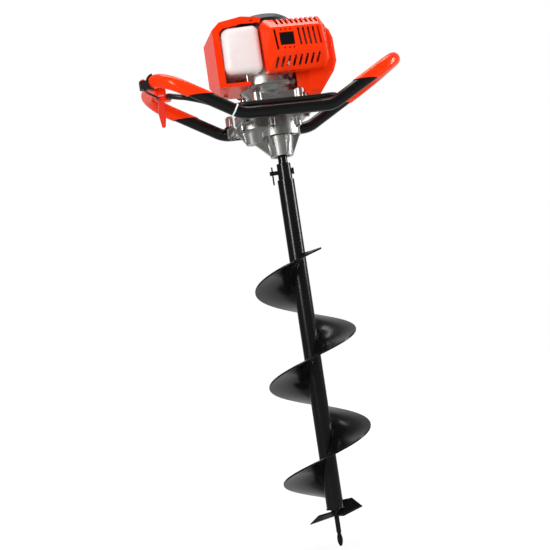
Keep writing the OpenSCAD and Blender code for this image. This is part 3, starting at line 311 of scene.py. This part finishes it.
def ring_faces(rows, cols, looped=False, copies=1, first=0):
    """Quads between each ring and the next, where every ring closes on itself; the ends are capped unless
    the rows loop round. Copies lie one after another in the points, from the index first on."""
    r = np.arange(rows if looped else rows - 1)[:, None]
    c = np.arange(cols)[None, :]
    after, beside = (r + 1) % rows, (c + 1) % cols
    quads = np.stack([r * cols + c, r * cols + beside, after * cols + beside, after * cols + c], axis=-1)
    shift = first + np.arange(copies)[:, None, None] * rows * cols
    faces = (quads.reshape(1, -1, 4) + shift).reshape(-1, 4).tolist()
    if not looped:
        ends = np.stack([np.arange(cols)[::-1], np.arange(cols) + (rows - 1) * cols])
        faces += (ends[None] + shift).reshape(-1, cols).tolist()
    return faces


print("two rings of four points make", len(ring_faces(2, 4)), "faces")

# %% [markdown]
# ## Tools for cords
# A cord, a wire or a weld is a ring carried along a line. A Blender curve with a round bevel would look
# the same. Rings are chosen because every other piece is made of them too, and because the radius may then
# change from station to station, as a weld's does.

# %% Cord helpers
# a direction that neither cord runs along
SKEW = (0.31, 0.52, 0.79)


def through(points, steps):
    """A smooth line through the points: between two of them the cubic whose slope at each is half the step
    from the point before to the point after."""
    p = np.asarray(points, float)
    before = np.vstack([2 * p[:1] - p[1:2], p])[:len(p) - 1]
    after = np.vstack([p, 2 * p[-1:] - p[-2:-1]])[2:len(p) + 1]
    t = np.linspace(0, 1, steps, endpoint=False)[None, :, None]
    a, b, c, d = before[:, None], p[:-1, None], p[1:, None], after[:, None]
    bend = (2 * a - 5 * b + 4 * c - d) * t ** 2 + (3 * b - a - 3 * c + d) * t ** 3
    line = 0.5 * (2 * b + (c - a) * t + bend)
    return np.vstack([line.reshape(-1, 3), p[-1:]])


def sweep(line, radius, sides, lead=SKEW):
    """Rings of the given radius (one number or one per station) square to a line. The first spoke of a
    ring is the line's direction crossed with the lead, which is one direction or one per station."""
    ahead = np.gradient(line, axis=-2)
    ahead /= np.linalg.norm(ahead, axis=-1, keepdims=True)
    side = np.cross(ahead, np.broadcast_to(lead, line.shape))
    side /= np.linalg.norm(side, axis=-1, keepdims=True)
    other = np.cross(ahead, side)
    turn = np.linspace(0, 2 * np.pi, sides, endpoint=False)[:, None]
    reach = np.broadcast_to(radius, line.shape[:-1])[..., None, None]
    spokes = np.cos(turn) * side[..., None, :] + np.sin(turn) * other[..., None, :]
    return line[..., None, :] + reach * spokes


print("a line through three points in four steps each has", len(through(np.eye(3), 4)), "stations")

# %% [markdown]
# ## Throttle cable and switch lead
# The throttle cable's black sheath leaves the bracket under the left grip, runs along the front tube under
# a nylon tie, turns round the right side and comes up to the carburettor. The object holds it all the way,
# so it could not be left to fall as a free cord. It is swept along a smooth line past the places where the
# solid is held. The thin lead of the stop switch runs down to the bracket and is made in the same way.

# %% Throttle cable and switch lead
CORD_STEPS = 8


def cord(name, points, radius, sides):
    """A round black cord along the smooth line through the points (millimetres), and its length in metres:
    the sum of the line's steps."""
    line = through(np.array(points) * MM, CORD_STEPS)
    piece = make(name, sweep(line, radius, sides), ring_faces(len(line), sides), "head", "black_rubber")
    return piece, float(np.linalg.norm(np.diff(line, axis=0), axis=1).sum())


cable_points = [(-234.9, -57.1, 969.6), (-234.9, -64, 969.6), (-229.9, -76, 965.5), (-216.9, -87, 960),
                (-204.8, -90, 957), (-172.1, -87.5, 948), (-145.8, -89, 937), (-128.9, -90, 931.5),
                (-113.5, -91, 929), (-96.9, -96, 928.8), (-84, -102.5, 929), (-40, -103, 928.6),
                (0, -103, 928.6), (44, -103, 928.6), (75, -100, 929.5), (100, -93, 932), (116, -76, 934),
                (122, -50, 934), (118, -10, 934), (108, 30, 936), (94, 58, 948), (74, 68, 978.5),
                (54, 68, 1005.5), (48, 68, 1017.5), (48, 68, 1029.4)]
lead_points = [(-281, -60, 988), (-280.6, -60.6, 985), (-275, -62.5, 979.5), (-267, -63, 974.5),
               (-260, -61.5, 971), (-256.8, -57.5, 969.7), (-256.5, -51.1, 969.6)]
cable, cable_length = cord("throttle_cable", cable_points, radius=5.8 * MM, sides=20)
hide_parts("throttle_conduit")
wire, wire_length = cord("switch_lead", lead_points, radius=2.0 * MM, sides=12)
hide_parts("switch_wire")
print("cable", round(cable_length, 3), "m, lead", round(wire_length, 3), "m")

# %% [markdown]
# ## Cable tie
# A thin nylon strap holds the cable against the front tube, with its loose end hanging down. A bent box
# would cut into the tube or stand off it. Pulled tight, a strap follows the tightest outline round both: at
# each direction, the point of whichever circle reaches farther. The strap is that outline with a flat
# section, and its end is a flat ribbon with a small hooked tip.

# %% Cable tie
KNEE, RISE, RING_HALF, FRAME_Z = 97 * MM, math.radians(30), 109 * MM, 909 * MM
STRAP_WIDTH, STRAP_THICK = 3.0 * MM, 1.1 * MM
LOOP_STATIONS, TAIL_STATIONS, STRAP_CORNERS = 120, 24, 4
arm = np.array([-math.cos(RISE), 0.0, math.sin(RISE)])
above, back = np.array([math.sin(RISE), 0.0, math.cos(RISE)]), np.array([0.0, 1.0, 0.0])
tie_along_arm = 16 * MM
tie_at = np.array([-KNEE, -RING_HALF, FRAME_Z]) + tie_along_arm * arm


def strap_corners(line, across, outward):
    """Four corners at each station of a line: half the strap's width along across, and half its thickness
    along outward."""
    half_w, half_t = across * STRAP_WIDTH / 2, outward * STRAP_THICK / 2
    return np.stack([line - half_w - half_t, line + half_w - half_t, line + half_w + half_t,
                     line - half_w + half_t], axis=1)


# the circles round the tube and round the cable: how far above the tube's middle, and how far behind it
centres, radii = np.array([[0.0, 0.0], [11.0, 16.0]]) * MM, np.array([13.9, 7.2]) * MM
bearing = np.linspace(0, 2 * np.pi, LOOP_STATIONS, endpoint=False)
ray = np.stack([np.cos(bearing), np.sin(bearing)], -1)
farther = (ray @ centres.T + radii).argmax(axis=1)
loop_2d = centres[farther] + radii[farther, None] * ray
to_3d = np.stack([above, back])
loop = strap_corners(tie_at + loop_2d @ to_3d, arm, ray @ to_3d)

tail_top = tie_at - 14.2 * MM * above - 5 * MM * back
tail_drop, hook_out, hook_from = 27 * MM, 3.0 * MM, 0.88
fall = np.linspace(0, 1, TAIL_STATIONS)[:, None]
hooked = np.clip(fall - hook_from, 0, 1) / (1 - hook_from)
tail_line = tail_top - tail_drop * fall * np.array([0, 0, 1]) + hook_out * hooked * np.array([1, 0, 0])
tail = strap_corners(tail_line, np.array([1.0, 0, 0]), np.array([0, -1.0, 0]))

loop_faces = ring_faces(LOOP_STATIONS, STRAP_CORNERS, looped=True)
tail_faces = ring_faces(TAIL_STATIONS, STRAP_CORNERS, first=LOOP_STATIONS * STRAP_CORNERS)
tie = make("nylon_tie", np.concatenate([loop, tail]), loop_faces + tail_faces, "head", "white_nylon")
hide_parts("cable_tie")
print("tie", len(tie.data.polygons), "faces")

# %% [markdown]
# ## The flight
# The flight is one strip of plate pressed into a screw and coated black. Seen from the side its plate must
# curve evenly, so it is made as a helicoid of many stations: a section across the plate, with a rolled
# outer edge, turned and lowered in step. Blender's screw modifier could turn the section too. The formula
# is chosen because the welds need the same angle and height.

# %% Flight
flight_r, plate, pitch_length, edge_r = 100 * MM, 4 * MM, 203 * MM, 1.2 * MM
flight_turn, flight_start = math.radians(930), math.radians(287)
flight_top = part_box("auger_flight")[1][2]
# the plate's root lies just inside the tube's skin, and its flat sides have points up to 3 mm from the rim
root_r, flat_to = 17.5 * MM, 97 * MM
STATIONS, SPOKES, EDGE_POINTS = 280, 12, 9


def helix(share):
    """Angle and height of the flight's middle: share 0 is its top end, share 1 its foot, and the height
    falls by one pitch a turn."""
    swept = flight_turn * share
    return flight_start - swept, flight_top - plate / 2 - pitch_length * swept / (2 * np.pi)


spin, height = helix(np.linspace(0, 1, STATIONS))
corner = np.linspace(-np.pi / 2, np.pi / 2, EDGE_POINTS)
rim = np.stack([flight_r - edge_r + edge_r * np.cos(corner),
                np.sign(np.sin(corner)) * (plate / 2 - edge_r) + edge_r * np.sin(corner)], 1)
spokes = np.linspace(root_r, flat_to, SPOKES)
section = np.vstack([np.stack([spokes, np.full(SPOKES, -plate / 2)], 1), rim,
                     np.stack([spokes[::-1], np.full(SPOKES, plate / 2)], 1)])
rings = np.stack([section[:, 0] * np.cos(spin)[:, None], section[:, 0] * np.sin(spin)[:, None],
                  height[:, None] + section[:, 1]], -1)
flight = make("spiral_flight", rings, ring_faces(STATIONS, len(section)), "drill", "black_paint")
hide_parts("auger_flight")
print("flight", len(flight.data.polygons), "faces")

# %% [markdown]
# ## Weld runs
# The flight is welded to the tube in short runs above and below, and the coat of paint covers the beads.
# A bump in the paint could hint at them, but it has no outline. So each bead is a small swept roll in the
# corner, with the ripple that a hand-held torch leaves.

# %% Weld runs
BEAD_SIDES = 10
# a ripple swells the bead by this share, once in so many stations
RIPPLE, RIPPLE_STATIONS = 0.12, 5
# the ends keep this share of the section, so that no ring shrinks to a point
BLUNT = 0.02


def bead(name, lines, thick, lead):
    """Rolls along the rows of lines: full in the middle, round at both ends by the root of 1 - u^8, and
    rippled by a sine about every 1.5 mm."""
    copies, count = lines.shape[:2]
    u = np.linspace(-1, 1, count)
    ripple = 1 + RIPPLE * np.sin(np.arange(count) * 2 * np.pi / RIPPLE_STATIONS)
    radius = thick * ripple * np.sqrt(np.clip(1 - u ** 8, BLUNT, 1))
    faces = ring_faces(count, BEAD_SIDES, copies=copies)
    make(name, sweep(lines, radius, BEAD_SIDES, lead), faces, "drill", "black_paint")


WELD_RUNS, RUN_STATIONS = 13, 60
# each run covers this part of its share of the flight
run_from, run_to = 0.30, 0.68
seat_r, bead_r, bead_lift = 19.2 * MM, 2.0 * MM, 1.0 * MM
runs = (np.arange(WELD_RUNS)[:, None] + np.linspace(run_from, run_to, RUN_STATIONS)) / WELD_RUNS
spin, height = helix(runs)
outward = np.stack([np.cos(spin), np.sin(spin), np.zeros_like(spin)], -1)
for side, name in ((1, "upper_welds"), (-1, "lower_welds")):
    seat = outward * seat_r
    seat[..., 2] = height + side * (plate / 2 + bead_lift)
    bead(name, seat, bead_r, outward)
print("welds", runs.size * 2, "stations")

# %% [markdown]
# ## Foot weld
# The bead at the tube's foot runs all round and has no ends. So it is the same kind of roll along a
# circle, and its last ring is joined to its first.

# %% Foot weld
FOOT_STATIONS, FOOT_RIPPLES, FOOT_RIPPLE = 150, 30, 0.15
foot_r, foot_z, foot_bead = 17.6 * MM, 78.6 * MM, 1.7 * MM
turn_round = np.linspace(0, 2 * np.pi, FOOT_STATIONS, endpoint=False)
foot = np.stack([foot_r * np.cos(turn_round), foot_r * np.sin(turn_round),
                 np.full(FOOT_STATIONS, foot_z)], -1)
wave = foot_bead * (1 + FOOT_RIPPLE * np.sin(FOOT_RIPPLES * turn_round))
make("foot_weld", sweep(foot, wave, BEAD_SIDES, (0, 0, 1)),
     ring_faces(FOOT_STATIONS, BEAD_SIDES, looped=True), "drill", "black_paint")
print("foot weld", round(2 * math.pi * foot_r, 3), "m round")

# %% [markdown]
# ## Pilot
# The pilot is turned from bar: a spear that finds the centre, a neck, a shank, and a collar that closes
# the tube's foot. Cones and cylinders would meet in hard steps, so it is one profile turned about the axis,
# as on a lathe.


# %% Pilot
def lathe(profile, sides):
    """Rings of a profile of radii and heights (millimetres) about +Z."""
    r, h = np.asarray(profile, float).T * MM
    turn = np.linspace(0, 2 * np.pi, sides, endpoint=False)
    return np.stack([r[:, None] * np.cos(turn), r[:, None] * np.sin(turn),
                     np.broadcast_to(h[:, None], (len(r), sides))], -1)


PILOT_SIDES = 48
pilot_profile = [(0.4, 0.0), (2.4, 0.8), (4.2, 4.5), (5.6, 10), (5.9, 15), (5.4, 20), (4.3, 24.5),
                 (4.1, 27), (4.9, 29), (5.1, 31), (5.1, 60), (5.8, 62), (9.6, 64), (10.2, 66),
                 (10.2, 76.4), (17.2, 77), (17.9, 77.6), (17.9, 79), (14.5, 79), (14.5, 90)]
pilot = make("pilot_spear", lathe(pilot_profile, PILOT_SIDES),
             ring_faces(len(pilot_profile), PILOT_SIDES), "drill", "black_paint")
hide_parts("pilot_point")
print("pilot", len(pilot.data.polygons), "faces")

# %% [markdown]
# ## Cutting edges
# Beside the pilot sit two plates of hardened steel. The broad one carries on from the flight's foot and
# slopes down to a ground cutting edge at the front; the narrow one is a wing that runs out to a point. A
# plate is an outline with a thickness. The corners are given as the camera sees them, to its right, away
# from it, and up, because that is how the picture shows them.

# %% Cutting edges
# edges that turn by more than this get a radius
EDGE_ANGLE = math.radians(32)


def plate_between(corners, thick, ground):
    """A flat plate: the outline moved half the thickness to either side, its upper side drawn in by the
    ground widths, one per corner, towards the outline's middle."""
    lower = np.asarray(corners, float) @ about_z.T
    normal = np.cross(lower[1] - lower[0], lower[2] - lower[0])
    normal *= thick / 2 / np.linalg.norm(normal)
    inward = lower.mean(axis=0) - lower
    inward /= np.linalg.norm(inward, axis=1, keepdims=True)
    return np.stack([lower - normal, lower + normal + inward * np.asarray(ground)[:, None]]) * MM


def round_edges(piece, width):
    """A bevel of the width (metres) on every edge past the edge angle; none where the width is 0."""
    if width:
        edge = piece.modifiers.new("edge", "BEVEL")
        edge.width = width
        edge.segments = 2
        edge.limit_method = "ANGLE"
        edge.angle_limit = EDGE_ANGLE
        edge.harden_normals = True


blade_thick = 4.6
broad = plate_between([(3, -14, 65), (15, -17, 63.5), (58, 2, 76), (38, 22, 92), (9, 20, 90.5)],
                      blade_thick, ground=(0, 4, 4, 0, 0))
wing = plate_between([(-58, -2, 53.5), (-37, -12, 69), (-3, -14, 74), (-6, 2, 63), (-39, 3, 57)],
                     blade_thick, ground=(3, 0, 0, 0, 3))
edges = make("cutting_edges", np.stack([broad, wing]), ring_faces(2, 5, copies=2), "drill", "black_paint")
round_edges(edges, 0.5 * MM)
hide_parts("cutting_blades")
print("cutting edges", len(edges.data.polygons), "faces")

# %% [markdown]
# ## Pin clip
# A clip of spring wire keeps the coupling pin in: one straight leg through the pin's hole, and an eye
# below that the finger pulls. A cylinder and a ring would show a seam, so one sweep follows the leg down
# and then runs round the eye.

# %% Pin clip
low, high = (np.array(corner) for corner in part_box("pin_clip"))
wire_r, eye_r = 1.7 * MM, 6 * MM
leg_top, leg_foot, eye_z = high[2] - 0.3 * MM, low[2] + 14.5 * MM, low[2] + 7.4 * MM
LEG_STATIONS, EYE_STATIONS, WIRE_SIDES = 24, 72, 12
leg = np.linspace(leg_top, leg_foot, LEG_STATIONS)
round_eye = np.radians(np.linspace(90, 440, EYE_STATIONS))
leg_line = np.stack([np.zeros(LEG_STATIONS), np.zeros(LEG_STATIONS), leg], -1)
eye_line = np.stack([np.zeros(EYE_STATIONS), eye_r * np.cos(round_eye),
                     eye_z + eye_r * np.sin(round_eye)], -1)
clip_line = np.vstack([leg_line, eye_line]) @ about_z.T
clip_line = clip_line + ((low[0] + high[0]) / 2, (low[1] + high[1]) / 2, 0)
clip = make("spring_clip", sweep(clip_line, wire_r, WIRE_SIDES, about_z[:, 0]),
            ring_faces(len(clip_line), WIRE_SIDES), "drill", "black_paint")
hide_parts("pin_clip")
print("clip wire", round(2 * wire_r / MM, 1), "mm")

# %% [markdown]
# ## Castings, mouldings and fasteners
# A casting or moulding whose form is already right is copied from its solid, because the solids stay as
# they are. On the copy doubled points are merged, and edges get the radius that each process leaves, since
# that is where a real edge catches the light: about one and a half millimetres on the large mouldings,
# under one on castings, and half a millimetre or less on most steel pieces.

# %% Castings, mouldings and fasteners
# points nearer than this (metres) are one point, and facets that turn by less than this are one face
SAME_POINT, SAME_FACE = 2e-6, math.radians(0.6)
# radii in millimetres
EDGE = {"muffler_guard": 1.2, "cylinder_shroud": 1.6, "tank_guard": 1.6, "fuel_tank": 0.0,
        "gearbox_case": 0.8, "gearbox_cover": 0.8, "clutch_housing": 0.8, "starter_housing": 1.0,
        "handle_frame": 0.6, "left_grip": 0.6, "right_grip": 0.6, "auger_tube": 0.5,
        "switch_housing": 0.8, "throttle_bracket": 0.6, "throttle_lever": 1.0, "filter_cover": 1.5,
        "fuel_cap": 0.6, "crankcase": 0.8, "frame_bolts": 0.4, "gearbox_bolts": 0.3,
        "housing_bolts": 0.4, "tank_posts": 0.4, "coupling_pin": 0.4, "muffler": 1.0,
        "carburettor": 0.6, "starter_handle": 1.5, "engine_cylinder": 0.4, "outlet_screen": 0.4,
        "kill_button": 0.5, "choke_lever": 0.4, "throttle_arm": 0.3, "primer_bulb": 0.3,
        "plug_cap": 0.6, "lever_pivot": 0.3}


def softened(node, width, finish=None):
    """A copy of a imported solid: doubled points merged, flat facets joined, and every edge past the edge
    angle rounded to the width (metres)."""
    solid = nodes[node]
    work = bmesh.new()
    work.from_mesh(solid.data)
    bmesh.ops.remove_doubles(work, verts=work.verts, dist=SAME_POINT)
    bmesh.ops.dissolve_limit(work, angle_limit=SAME_FACE, verts=work.verts, edges=work.edges)
    mesh = bpy.data.meshes.new(node + "_finished")
    work.to_mesh(mesh)
    work.free()
    mesh.polygons.foreach_set("use_smooth", np.ones(len(mesh.polygons), bool))
    mesh.set_sharp_from_angle(angle=EDGE_ANGLE)
    piece = bpy.data.objects.new(node + "_finished", mesh)
    bpy.context.scene.collection.objects.link(piece)
    mesh.materials.clear()
    mesh.materials.append(FINISH[finish or slot_of[node]])
    round_edges(piece, width)
    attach(piece, body_of(solid)[0])
    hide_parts(node)


for node, width in EDGE.items():
    softened(node, width * MM)
softened("output_shaft", 0.3 * MM, finish="black_oxide")
print(len(EDGE) + 1, "solids with finished edges")

# %% [markdown]
# ## Flange bolts
# Three flange bolts show on the bell's front, just under the exhaust guard. Plain cylinders would do from
# afar. A turned profile adds what catches the light: the lip of the round flange, and the chamfered crown
# on the six flats.


# %% Flange bolts
def turned(profile, sides, places):
    """Rings of a profile of radii and heights (millimetres) about an axis that points to -Y, one set at
    each place."""
    r, h = np.asarray(profile, float).T * MM
    turn = np.linspace(0, 2 * np.pi, sides, endpoint=False)
    shape = np.stack([r[:, None] * np.cos(turn), np.broadcast_to(-h[:, None], (len(r), sides)),
                      r[:, None] * np.sin(turn)], -1)
    return np.asarray(places, float)[:, None, None, :] * MM + shape


COLLAR_SIDES, HEAD_FLATS = 32, 6
bolt_at = [(9, -59.5, 991), (29, -50.5, 992), (35, -47.5, 980)]
flange = [(4.0, 0), (6.0, 0), (6.2, 0.6), (5.9, 1.5), (4.2, 2.0)]
crown = [(4.6, 1.6), (4.6, 6.0), (4.2, 6.7), (2.6, 7.0)]
make("flange_bolt_collars", turned(flange, COLLAR_SIDES, bolt_at),
     ring_faces(len(flange), COLLAR_SIDES, copies=len(bolt_at)), "head", "steel")
make("flange_bolt_heads", turned(crown, HEAD_FLATS, bolt_at),
     ring_faces(len(crown), HEAD_FLATS, copies=len(bolt_at)), "head", "steel", smooth=False)
print("bolts", len(bolt_at))

# %% [markdown]
# ## Return spring
# A short return spring lies beside the bolts. It is a coil of black wire, so the line of the sweep is a
# circle that moves along the spring's axis as it turns. A striped cylinder would have no gaps.

# %% Return spring
COIL_STATIONS, COIL_SIDES, COIL_TURNS = 160, 8, 7
coil_r, coil_wire = 2.4 * MM, 0.7 * MM
start, stop = np.array([12, -64, 990]) * MM, np.array([33, -54, 982]) * MM
axis = (stop - start) / np.linalg.norm(stop - start)
across = np.cross(axis, (0, 0, 1))
across /= np.linalg.norm(across)
coil = np.linspace(0, 1, COIL_STATIONS)[:, None]
winding = 2 * np.pi * COIL_TURNS * coil
swirl = coil_r * (np.cos(winding) * across + np.sin(winding) * np.cross(axis, across))
spring = start + coil * (stop - start) + swirl
make("return_spring", sweep(spring, coil_wire, COIL_SIDES, axis), ring_faces(COIL_STATIONS, COIL_SIDES),
     "head", "black_paint")
print("spring", round(float(np.linalg.norm(stop - start)), 4), "m")

# %% [markdown]
# ## Sump gusset
# Left of the sump a small cast web stiffens the gearbox flange. Such a web is a flat plate with a sloping
# outer edge. A box would lack the slope, so it is an outline seen from the front, carried half its
# thickness to either side.

# %% Sump gusset
web_outline = np.array([(-91.5, 889.4), (-60, 889.4), (-60, 866), (-75, 866)])
web_sides = np.array([[-3.0], [3.0]])
web = np.stack(np.broadcast_arrays(web_outline[:, 0], web_sides, web_outline[:, 1]), axis=-1) * MM
gusset = make("sump_gusset", web, ring_faces(2, len(web_outline)), "head", "cast_aluminium")
round_edges(gusset, 0.8 * MM)
print("gusset", np.round(np.ptp(web.reshape(-1, 3), axis=0), 4).tolist(), "m")

# %% [markdown]
# ## Shroud apron
# Beside the bell the shroud turns in and closes the fan's air path with a moulded apron. It is a thin
# wall, drawn as an outline seen from above and carried up in a few levels. A flat wall would mirror one
# tone, so it has a slight bow.

# %% Shroud apron
apron_from, apron_run, apron_bow = np.array([45, -46]), np.array([28, -7]), 1.6
apron_wall = (0.6, 2.4)
APRON_STATIONS = 14
u = np.linspace(0, 1, APRON_STATIONS)
outer = apron_from + apron_run * u[:, None]
outer[:, 1] -= apron_bow * np.sin(np.pi * u)
outline = np.vstack([outer, outer[::-1] + apron_wall])
middle = outline.mean(axis=0)
# the first and last level are drawn in a little, which rounds the rim
level_z = np.array([949.5, 950.2, 982, 1013.3, 1014])
draw = np.array([0.985, 1, 1, 1, 0.985])[:, None, None]
heights = np.broadcast_to(level_z[:, None, None], (len(level_z), len(outline), 1))
wall = np.concatenate([middle + (outline - middle) * draw, heights], axis=-1) * MM
make("shroud_apron", wall, ring_faces(len(level_z), len(outline)), "head", "orange_plastic")
print("apron", np.round(np.ptp(wall.reshape(-1, 3), axis=0), 4).tolist(), "m")

# %% [markdown]
# ## Rear mount sleeves
# At the two rear ears the handle sits on tall cast sleeves with the bolt's end showing below. Each is a
# turned profile with shallow flutes, as the mould leaves them. The flutes could be a bump, but as a wave of
# the radius they show at the rim too.

# %% Rear mount sleeves
EARS = np.array([(-84, 84, 0), (44, 84, 0)]) * MM
SLEEVE_SIDES, FLUTES, FLUTE_DEPTH = 60, 6, 0.05
sleeve = np.array([(5.0, 893.8), (5.2, 894.2), (5.2, 897.6), (9.6, 898.2), (10.2, 899.0), (10.4, 915),
                   (10.0, 941), (9.4, 942), (8.0, 942.2)])
# the first rings are the bolt's end, which is round
fluted_from = 3
flute = 1 + FLUTE_DEPTH * np.sin(FLUTES * np.linspace(0, 2 * np.pi, SLEEVE_SIDES, endpoint=False))
sleeve_rings = lathe(sleeve, SLEEVE_SIDES)
sleeve_rings[fluted_from:, :, :2] *= flute[:, None]
make("mount_sleeves", EARS[:, None, None, :] + sleeve_rings,
     ring_faces(len(sleeve), SLEEVE_SIDES, copies=len(EARS)), "head", "cast_aluminium")
print("sleeves", len(EARS))

# %% [markdown]
# ## What mirrors see
# The tool stands before a white sweep, in a room that is dark towards the camera. A room that is white all
# round would fill black paint and bare metal with white. So the backdrop asks which ray looks at it. The
# camera sees white. A mirror-like surface sees a pale sweep behind the tool and a dim room elsewhere, with
# the lamps in it, which keeps black paint black and gives bare metal its contrast.

# %% What mirrors see
AWAY = about_z @ np.array([0.0, 1.0, 0.0])
# cosines to the direction behind the tool where the sweep starts and is full, and how white it is there
SWEEP_SPAN, MIRROR_SHARE = (0.60, 0.85), (0.10, 0.45)


def seen(tree, towards):
    """Two shares for a shader: how white it looks (1 to the camera; to mirrors the lower mirror share,
    which rises to the upper one behind the tool), and whether a camera or mirror ray looks at all."""
    path = add(tree, "ShaderNodeLightPath")
    mirror = add(tree, "ShaderNodeMath",
                 {0: path.outputs["Is Glossy Ray"], 1: path.outputs["Is Transmission Ray"]},
                 operation="ADD", use_clamp=True)
    unit = add(tree, "ShaderNodeVectorMath", {0: towards}, operation="NORMALIZE")
    behind = add(tree, "ShaderNodeVectorMath", {0: unit.outputs[0], 1: tuple(AWAY)},
                 operation="DOT_PRODUCT")
    share = add(tree, "ShaderNodeMapRange",
                {"Value": behind.outputs["Value"], "From Min": SWEEP_SPAN[0], "From Max": SWEEP_SPAN[1],
                 "To Min": MIRROR_SHARE[0], "To Max": MIRROR_SHARE[1]}, interpolation_type="SMOOTHSTEP")
    mirrored = add(tree, "ShaderNodeMath", {0: mirror.outputs[0], 1: share.outputs[0]},
                   operation="MULTIPLY")
    white = add(tree, "ShaderNodeMath", {0: mirrored.outputs[0], 1: path.outputs["Is Camera Ray"]},
                operation="ADD", use_clamp=True)
    looked = add(tree, "ShaderNodeMath", {0: mirror.outputs[0], 1: path.outputs["Is Camera Ray"]},
                 operation="ADD", use_clamp=True)
    return white.outputs[0], looked.outputs[0]


print("the sweep lies towards", np.round(AWAY, 3).tolist())

# %% [markdown]
# ## Floor
# The sweep's floor is a wide white sheet. Lamps strong enough to make a matt sheet white would burn out
# the tool. So the floor glows by itself, and a thin grey coat on it takes the tool's shadow. Light that
# bounces meets a pale matt sheet instead.

# %% Floor
WHITE = (1, 1, 1, 1)
half = 30.0
# distances from the tool in metres, and the glow there: a shade greyer under the tool, white far out
GLOW_SPAN, GLOW_SHARE = (0.5, 4.0), (0.86, 1.0)
floor_mesh = bpy.data.meshes.new("floor")
floor_corners = [(-half, -half, 0), (half, -half, 0), (half, half, 0), (-half, half, 0)]
floor_mesh.from_pydata(floor_corners, [], [(0, 1, 2, 3)])
floor = bpy.data.objects.new("floor", floor_mesh)
bpy.context.scene.collection.objects.link(floor)
# white sweep: matt paper that glows evenly, with a soft shadow
sweep_paint = bpy.data.materials.new("white_sweep")
sweep_paint.use_nodes = True
tree = sweep_paint.node_tree
tree.nodes.clear()
place = add(tree, "ShaderNodeTexCoord").outputs["Object"]
white, looked = seen(tree, place)
far = add(tree, "ShaderNodeVectorMath", {0: place}, operation="LENGTH")
shade = add(tree, "ShaderNodeMapRange",
            {"Value": far.outputs["Value"], "From Min": GLOW_SPAN[0], "From Max": GLOW_SPAN[1],
             "To Min": GLOW_SHARE[0], "To Max": GLOW_SHARE[1]})
strength = add(tree, "ShaderNodeMath", {0: white, 1: shade.outputs[0]}, operation="MULTIPLY")
matt = add(tree, "ShaderNodeBsdfDiffuse", {"Color": linear("#e8e8e8")})
thin = add(tree, "ShaderNodeBsdfDiffuse", {"Color": linear("#6a6a6a")})
glow = add(tree, "ShaderNodeEmission", {"Color": WHITE, "Strength": strength.outputs[0]})
lit = add(tree, "ShaderNodeAddShader", {0: thin.outputs[0], 1: glow.outputs[0]})
pick = add(tree, "ShaderNodeMixShader", {0: looked, 1: matt.outputs[0], 2: lit.outputs[0]})
add(tree, "ShaderNodeOutputMaterial", {"Surface": pick.outputs[0]})
floor_mesh.materials.append(sweep_paint)
print("floor", 2 * half, "m wide")

# %% [markdown]
# ## Backdrop
# Beyond the floor the studio is white as well. It could be a curved sheet, but the world needs no shape.
# The same shares make it white to the camera, and pale or dim to mirrors. To all other rays it is a soft
# even light.

# %% Backdrop
ROOM_LIGHT = 0.68
world = bpy.data.worlds.new("studio")
bpy.context.scene.world = world
world.use_nodes = True
tree = world.node_tree
tree.nodes.clear()
white, looked = seen(tree, add(tree, "ShaderNodeTexCoord").outputs["Generated"])
soft = add(tree, "ShaderNodeBackground", {"Color": WHITE, "Strength": ROOM_LIGHT})
bright = add(tree, "ShaderNodeBackground", {"Color": WHITE, "Strength": white})
pick = add(tree, "ShaderNodeMixShader", {0: looked, 1: soft.outputs[0], 2: bright.outputs[0]})
add(tree, "ShaderNodeOutputWorld", {"Surface": pick.outputs[0]})
print("room light", ROOM_LIGHT)

# %% [markdown]
# ## Lamps
# The long streaks on the bit's tube tell where the lamps stood. A round tube mirrors a lamp at half its
# angle, so the streak a quarter of the radius left of the middle is a tall strip about 30 degrees left of
# the camera, and the one three quarters to the right is a strip square to the right. A third lamp hangs
# overhead. Point lamps would leave dots on the tube, so all three are soft rectangles.


# %% Lamps
def softbox(name, angle, distance, height, aim, size, watts):
    """A rectangular soft light at an angle (degrees) to the camera's right, as seen from the tool, facing
    its axis at the height aim. Lengths are in metres."""
    turned_by = math.radians(angle)
    spot = about_z @ np.array([math.sin(turned_by), -math.cos(turned_by), 0.0]) * distance
    at = Vector((spot[0], spot[1], height))
    data = bpy.data.lights.new(name, "AREA")
    data.shape = "RECTANGLE"
    data.size, data.size_y = size
    data.energy = watts
    lamp = bpy.data.objects.new(name, data)
    facing = (Vector((0, 0, aim)) - at).to_track_quat("-Z", "Y").to_matrix().to_4x4()
    facing.translation = at
    lamp.matrix_world = facing
    bpy.context.scene.collection.objects.link(lamp)


softbox("left_strip", angle=-31, distance=2.5, height=1.5, aim=1.2, size=(0.42, 1.4), watts=30)
softbox("right_strip", angle=94, distance=2.2, height=1.5, aim=1.2, size=(0.50, 1.4), watts=30)
softbox("overhead", angle=175, distance=0.35, height=2.6, aim=1.0, size=(1.3, 1.0), watts=16)
bpy.context.scene.view_settings.view_transform = "Standard"
